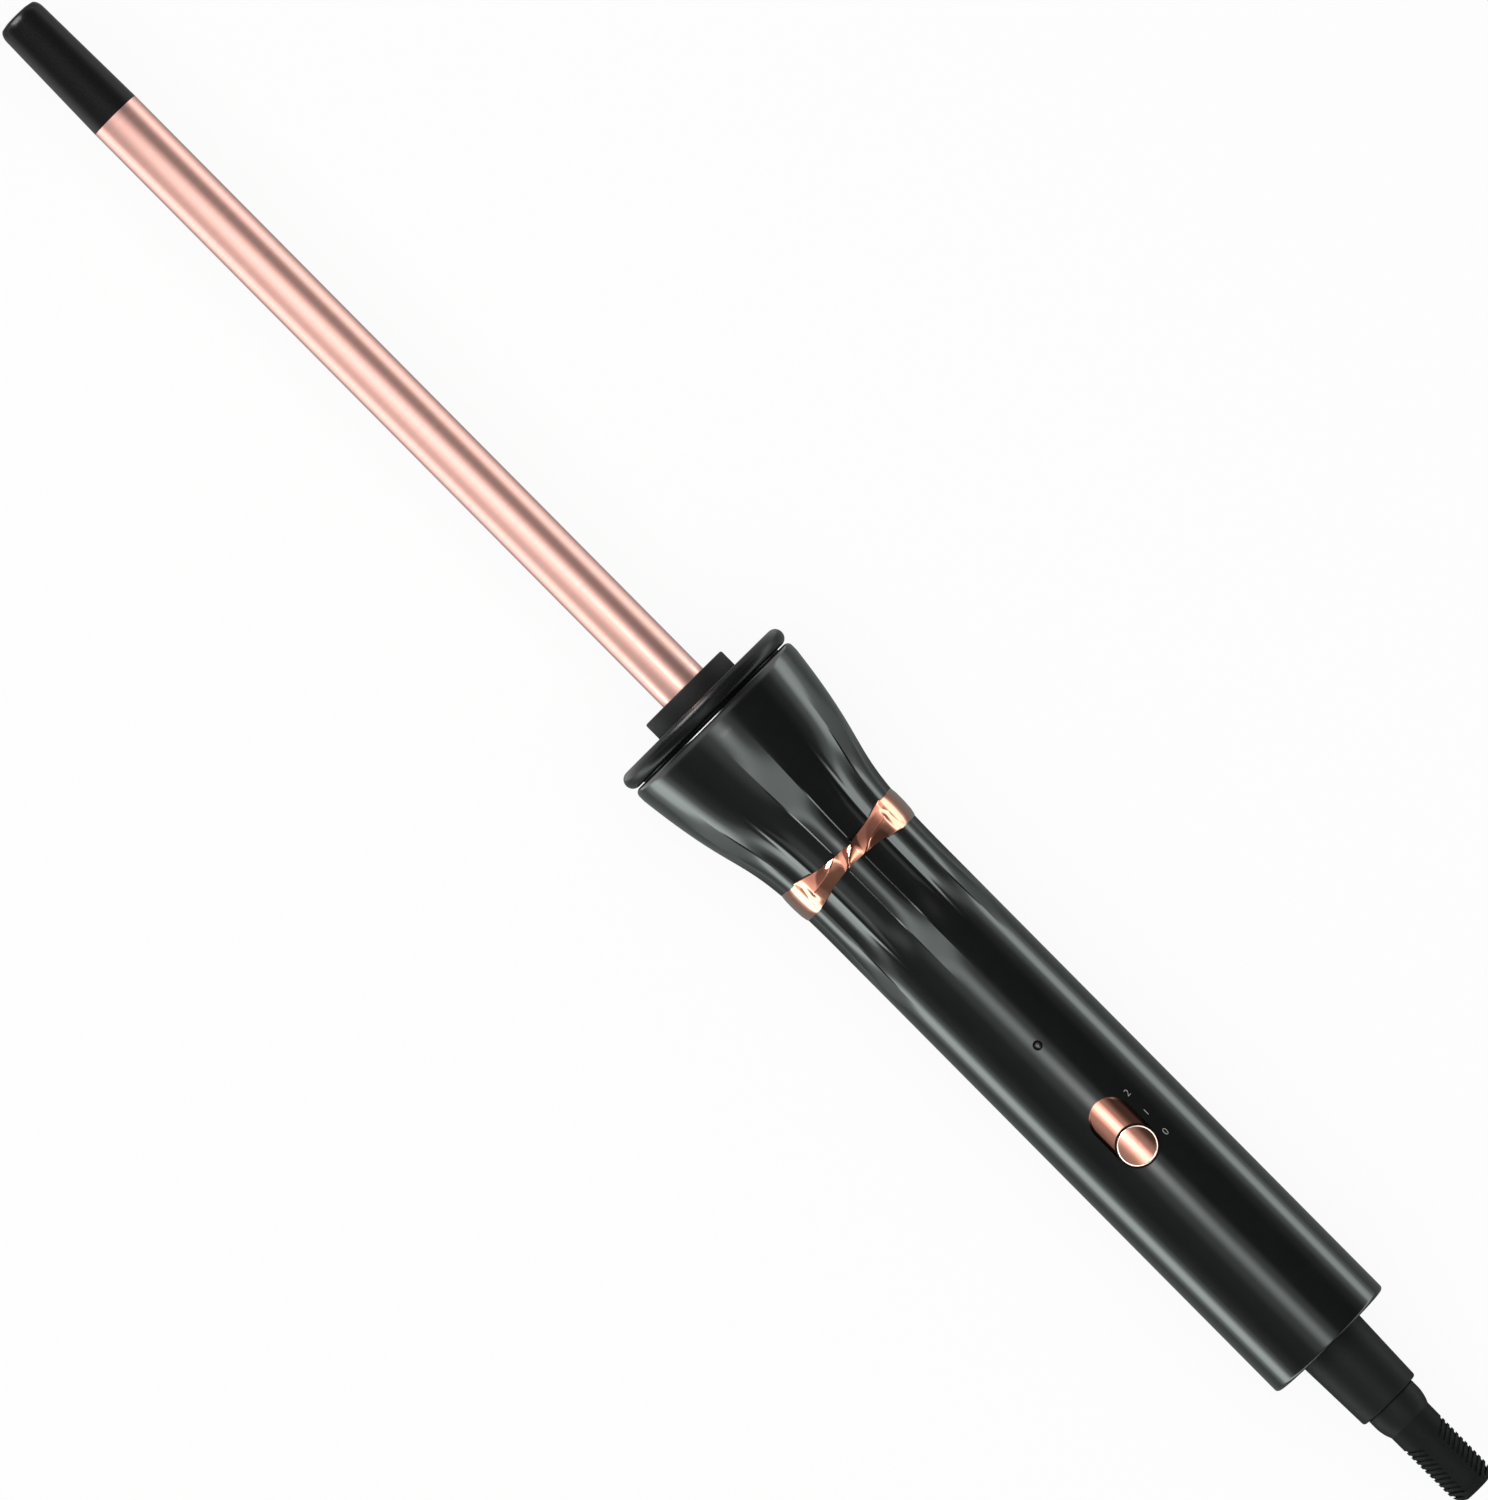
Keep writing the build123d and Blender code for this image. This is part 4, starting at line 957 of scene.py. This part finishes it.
# Brushes: two brass leaves in a resin block, which press on the slip rings.
# The supply leads run from them to the back end of the board.
finish_node("brush_holder", brown_resin)
finish_node("brush_contacts", plain_brass)
finish_node("supply_leads", silicone_sleeve)

# Boot: a soft rubber strain relief, moulded on the end of the core, with slanted slots on both
# sides of a smooth spine so that it bends with the cord. The slots are shallow at the surface.
ribbed_boot = smoothed_copy("cord_boot", "ribbed_boot")
filling_section = (
    (-176.8, 3.45), (-176.8, 4.06), (-188.4, 3.98), (-189.4, 3.8), (-190.2, 3.5), (-190.2, 3.45),
    (-176.8, 3.45),
)
slot_filling = turn_piece("slot_filling", [(x * mm, radius * mm) for x, radius in filling_section])
cut_with(ribbed_boot, slot_filling, "UNION")
bpy.ops.object.shade_smooth_by_angle(angle=math.radians(30))
soft_rubber = worked_finish(
    "soft_rubber", (0.0055, 0.0058, 0.0057), (0.004, 0.0043, 0.0042),
    roughness=0.62, grain=3000.0, relief=0.2, sheen=0.12,
)
dress(ribbed_boot, "cord_boot", "swivel", soft_rubber)

# Floor: a plain white table top that the wand lies on. It is white to the eye and in reflections,
# and keeps a faint shadow.
floor_level = -18.8 * mm
bpy.ops.object.select_all(action="DESELECT")
bpy.ops.mesh.primitive_plane_add(size=8.0, location=(0, 0, floor_level))
table_top = bpy.context.object
table_top.name = "table_top"
white_table = bpy.data.materials.new("white_table")
white_table.use_nodes = True
nodes = white_table.node_tree.nodes
links = white_table.node_tree.links
nodes.clear()
ray = nodes.new("ShaderNodeLightPath")
seen = nodes.new("ShaderNodeMath")
seen.operation = "MAXIMUM"
mirrored = nodes.new("ShaderNodeMath")
mirrored.operation = "MAXIMUM"
share = nodes.new("ShaderNodeMath")
share.operation = "MULTIPLY"
share.inputs[1].default_value = 0.92
paper = nodes.new("ShaderNodeBsdfDiffuse")
paper.inputs["Color"].default_value = (0.9, 0.9, 0.9, 1)
glow = nodes.new("ShaderNodeEmission")
glow.inputs["Strength"].default_value = 1.0
blend = nodes.new("ShaderNodeMixShader")
surface = nodes.new("ShaderNodeOutputMaterial")
links.new(ray.outputs["Is Camera Ray"], seen.inputs[0])
links.new(ray.outputs["Is Glossy Ray"], seen.inputs[1])
links.new(seen.outputs["Value"], mirrored.inputs[0])
links.new(ray.outputs["Is Transmission Ray"], mirrored.inputs[1])
links.new(mirrored.outputs["Value"], share.inputs[0])
links.new(share.outputs["Value"], blend.inputs["Fac"])
links.new(paper.outputs["BSDF"], blend.inputs[1])
links.new(glow.outputs["Emission"], blend.inputs[2])
links.new(blend.outputs["Shader"], surface.inputs["Surface"])
table_top.data.materials.append(white_table)

# Light tent: a curved screen over the wand and a sheet beside it on the table, which only show in
# polished surfaces. It has a part for the handle, one for the barrel and one ahead of the tip, each
# bright in soft strips. Two cards throw glints on the lip, the band and the switch.
tent_radius = 0.5
tent_reach = 100
barrel_zone = 0.165
sheet_level = floor_level + 1.2 * mm
full_glow = 6.5


def tent_part(screen, name, strips, tint, along):
    """Let a screen glow in soft strips: along gives its nodes the place across the strips, 0 to 1."""
    screen.name = name
    cloth = bpy.data.materials.new(name)
    cloth.use_nodes = True
    nodes = cloth.node_tree.nodes
    links = cloth.node_tree.links
    nodes.clear()
    place = nodes.new("ShaderNodeTexCoord")
    parts = nodes.new("ShaderNodeSeparateXYZ")
    strip = nodes.new("ShaderNodeValToRGB")
    strip.color_ramp.interpolation = "EASE"
    while len(strip.color_ramp.elements) < len(strips):
        strip.color_ramp.elements.new(0.5)
    for stop, (across, brightness) in zip(strip.color_ramp.elements, strips):
        stop.position = across
        stop.color = (brightness / full_glow, brightness / full_glow, brightness / full_glow, 1)
    level = nodes.new("ShaderNodeMath")
    level.operation = "MULTIPLY"
    level.inputs[1].default_value = full_glow
    glow = nodes.new("ShaderNodeEmission")
    glow.inputs["Color"].default_value = (*tint, 1)
    surface = nodes.new("ShaderNodeOutputMaterial")
    links.new(place.outputs["Object"], parts.inputs["Vector"])
    links.new(along(nodes, links, parts), strip.inputs["Fac"])
    links.new(strip.outputs["Color"], level.inputs[0])
    links.new(level.outputs["Value"], glow.inputs["Strength"])
    links.new(glow.outputs["Emission"], surface.inputs["Surface"])
    screen.data.materials.append(cloth)
    screen.visible_camera = False
    screen.visible_diffuse = False
    screen.visible_transmission = False
    screen.visible_volume_scatter = False
    screen.visible_shadow = False


def round_the_tent(nodes, links, parts):
    """Return the place round the screen, from -100 degrees at the right to 100 at the left."""
    left = nodes.new("ShaderNodeMath")
    left.operation = "MULTIPLY"
    left.inputs[1].default_value = -1.0
    turn = nodes.new("ShaderNodeMath")
    turn.operation = "ARCTAN2"
    scaled = nodes.new("ShaderNodeMapRange")
    scaled.inputs["From Min"].default_value = math.radians(-tent_reach)
    scaled.inputs["From Max"].default_value = math.radians(tent_reach)
    links.new(parts.outputs["Y"], left.inputs[0])
    links.new(left.outputs["Value"], turn.inputs[0])
    links.new(parts.outputs["Z"], turn.inputs[1])
    links.new(turn.outputs["Value"], scaled.inputs["Value"])
    return scaled.outputs["Result"]


def across_the_table(nodes, links, parts):
    """Return the place across the sheet, from one edge of the tent to the other."""
    scaled = nodes.new("ShaderNodeMapRange")
    scaled.inputs["From Min"].default_value = -tent_radius
    scaled.inputs["From Max"].default_value = tent_radius
    links.new(parts.outputs["Y"], scaled.inputs["Value"])
    return scaled.outputs["Result"]


def tent_section(name, back, front, tint, screen_strips, sheet_strips):
    """Put up one part of the tent. Screen strips are placed by angle, sheet strips by distance."""
    middle = (front + back) / 2
    bpy.ops.object.select_all(action="DESELECT")
    bpy.ops.mesh.primitive_cylinder_add(
        vertices=180,
        radius=tent_radius,
        depth=front - back,
        end_fill_type="NOTHING",
        location=(middle, 0, 0),
        rotation=(0, math.pi / 2, 0),
    )
    screen = bpy.context.object
    bpy.ops.object.transform_apply(location=True, rotation=True, scale=True)
    bpy.ops.object.mode_set(mode="EDIT")
    bpy.ops.mesh.select_all(action="SELECT")
    bpy.ops.mesh.bisect(plane_co=(0, 0, sheet_level), plane_no=(0, 0, 1), clear_inner=True)
    bpy.ops.object.mode_set(mode="OBJECT")
    tent_part(
        screen,
        name + "_screen",
        [((turn + tent_reach) / (2 * tent_reach), glow) for turn, glow in screen_strips],
        tint,
        round_the_tent,
    )
    bpy.ops.object.select_all(action="DESELECT")
    bpy.ops.mesh.primitive_plane_add(size=1.0, location=(middle, 0, sheet_level))
    sheet = bpy.context.object
    sheet.scale = (front - back, 2 * tent_radius, 1)
    bpy.ops.object.transform_apply(location=True, rotation=True, scale=True)
    tent_part(
        sheet,
        name + "_sheet",
        [(0.5 + offset * mm / (2 * tent_radius), glow) for offset, glow in sheet_strips],
        tint,
        across_the_table,
    )


tent_section(
    "handle_tent",
    -1.2,
    0,
    (0.9, 1.0, 0.96),
    ((-90, 1.35), (-80, 0.42), (-62, 0.2), (-36, 0.26), (-18, 0.92), (-4, 4.1), (8, 0.95), (22, 0.12),
     (60, 0.1), (76, 0.3), (90, 1.25)),
    ((-500, 2.2), (-140, 4.3), (-90, 3.3), (-62, 1.0), (-42, 0.33), (0, 0.15), (42, 0.36), (54, 1.1),
     (80, 4.7), (120, 6.0), (270, 3.6), (500, 2.6)),
)
tent_section(
    "barrel_tent",
    0,
    barrel_zone,
    (1.0, 1.0, 1.0),
    ((-90, 1.84), (-66, 1.0), (-56, 1.0), (-9, 2.02), (40, 0.4), (54, 0.42), (90, 1.72)),
    ((-500, 1.74), (-140, 1.78), (-60, 1.3), (-35, 0.9), (-15, 0.42), (0, 0.32), (15, 0.5), (35, 1.45),
     (60, 1.9), (110, 2.05), (500, 1.88)),
)
tent_section(
    "front_tent",
    barrel_zone,
    1.2,
    (1.0, 1.0, 1.0),
    ((-90, 1.4), (-70, 0.35), (-40, 0.24), (0, 0.4), (40, 0.24), (70, 0.35), (90, 1.4)),
    ((-500, 2.0), (-100, 2.0), (-50, 0.8), (0, 0.3), (50, 0.8), (100, 2.0), (500, 2.0)),
)
for name, place, tilt, length, breadth, strips in (
    (
        "front_card", (0.5, 0.1, 0.2), math.radians(65), 0.3, 0.42,
        ((0.42, 0), (0.48, 25), (0.7, 25), (0.8, 0)),
    ),
    (
        "switch_card", (-0.1207, 0.014, 0.488), 0, 0.0161, 0.168,
        ((0.43, 1.0), (0.47, 4.0), (0.5, 7.0), (0.54, 7.0), (0.6, 2.4)),
    ),
):
    bpy.ops.object.select_all(action="DESELECT")
    bpy.ops.mesh.primitive_plane_add(size=1.0, location=place, rotation=(0, tilt, 0))
    card = bpy.context.object
    card.scale = (length, breadth, 1)
    bpy.ops.object.transform_apply(location=True, rotation=True, scale=True)
    tent_part(card, name, strips, (1, 1, 1), across_the_table)

# Lamp: one large soft box overhead that lights the matt surfaces and throws the soft shadow.
bpy.ops.object.light_add(type="AREA", location=(0, 0.1, 0.8))
soft_box = bpy.context.object
soft_box.name = "soft_box"
soft_box.data.shape = "RECTANGLE"
soft_box.data.size = 1.0
soft_box.data.size_y = 0.9
soft_box.data.energy = 6.0
soft_box.visible_glossy = False

# Surroundings: a dim room with a pale wall at the level of the table.
room = bpy.data.worlds.new("room")
bpy.context.scene.world = room
room.use_nodes = True
nodes = room.node_tree.nodes
links = room.node_tree.links
back = nodes["Background"]
direction = nodes.new("ShaderNodeTexCoord")
parts = nodes.new("ShaderNodeSeparateXYZ")
wall = nodes.new("ShaderNodeMapRange")
wall.inputs["From Min"].default_value = 0.1
wall.inputs["From Max"].default_value = 0.2
wall.inputs["To Min"].default_value = 1.0
wall.inputs["To Max"].default_value = 0.3
links.new(direction.outputs["Generated"], parts.inputs["Vector"])
links.new(parts.outputs["Z"], wall.inputs["Value"])
links.new(wall.outputs["Result"], back.inputs["Strength"])
back.inputs["Color"].default_value = (1, 1, 1, 1)

# Camera: straight above the wand, turned so that the barrel points up and to the left.
view_place = (-14.73 * mm, 0.09 * mm)
view_height = 3.0
view_turn = math.atan2(-0.7100, -0.7042)
frame_height = 0.25446
bpy.ops.object.camera_add(location=(*view_place, view_height), rotation=(0, 0, view_turn))
camera = bpy.context.object
camera.data.sensor_fit = "VERTICAL"
camera.data.sensor_height = 24.0
camera.data.lens = camera.data.sensor_height * view_height / frame_height
bpy.context.scene.camera = camera
bpy.context.scene.view_settings.view_transform = "Standard"
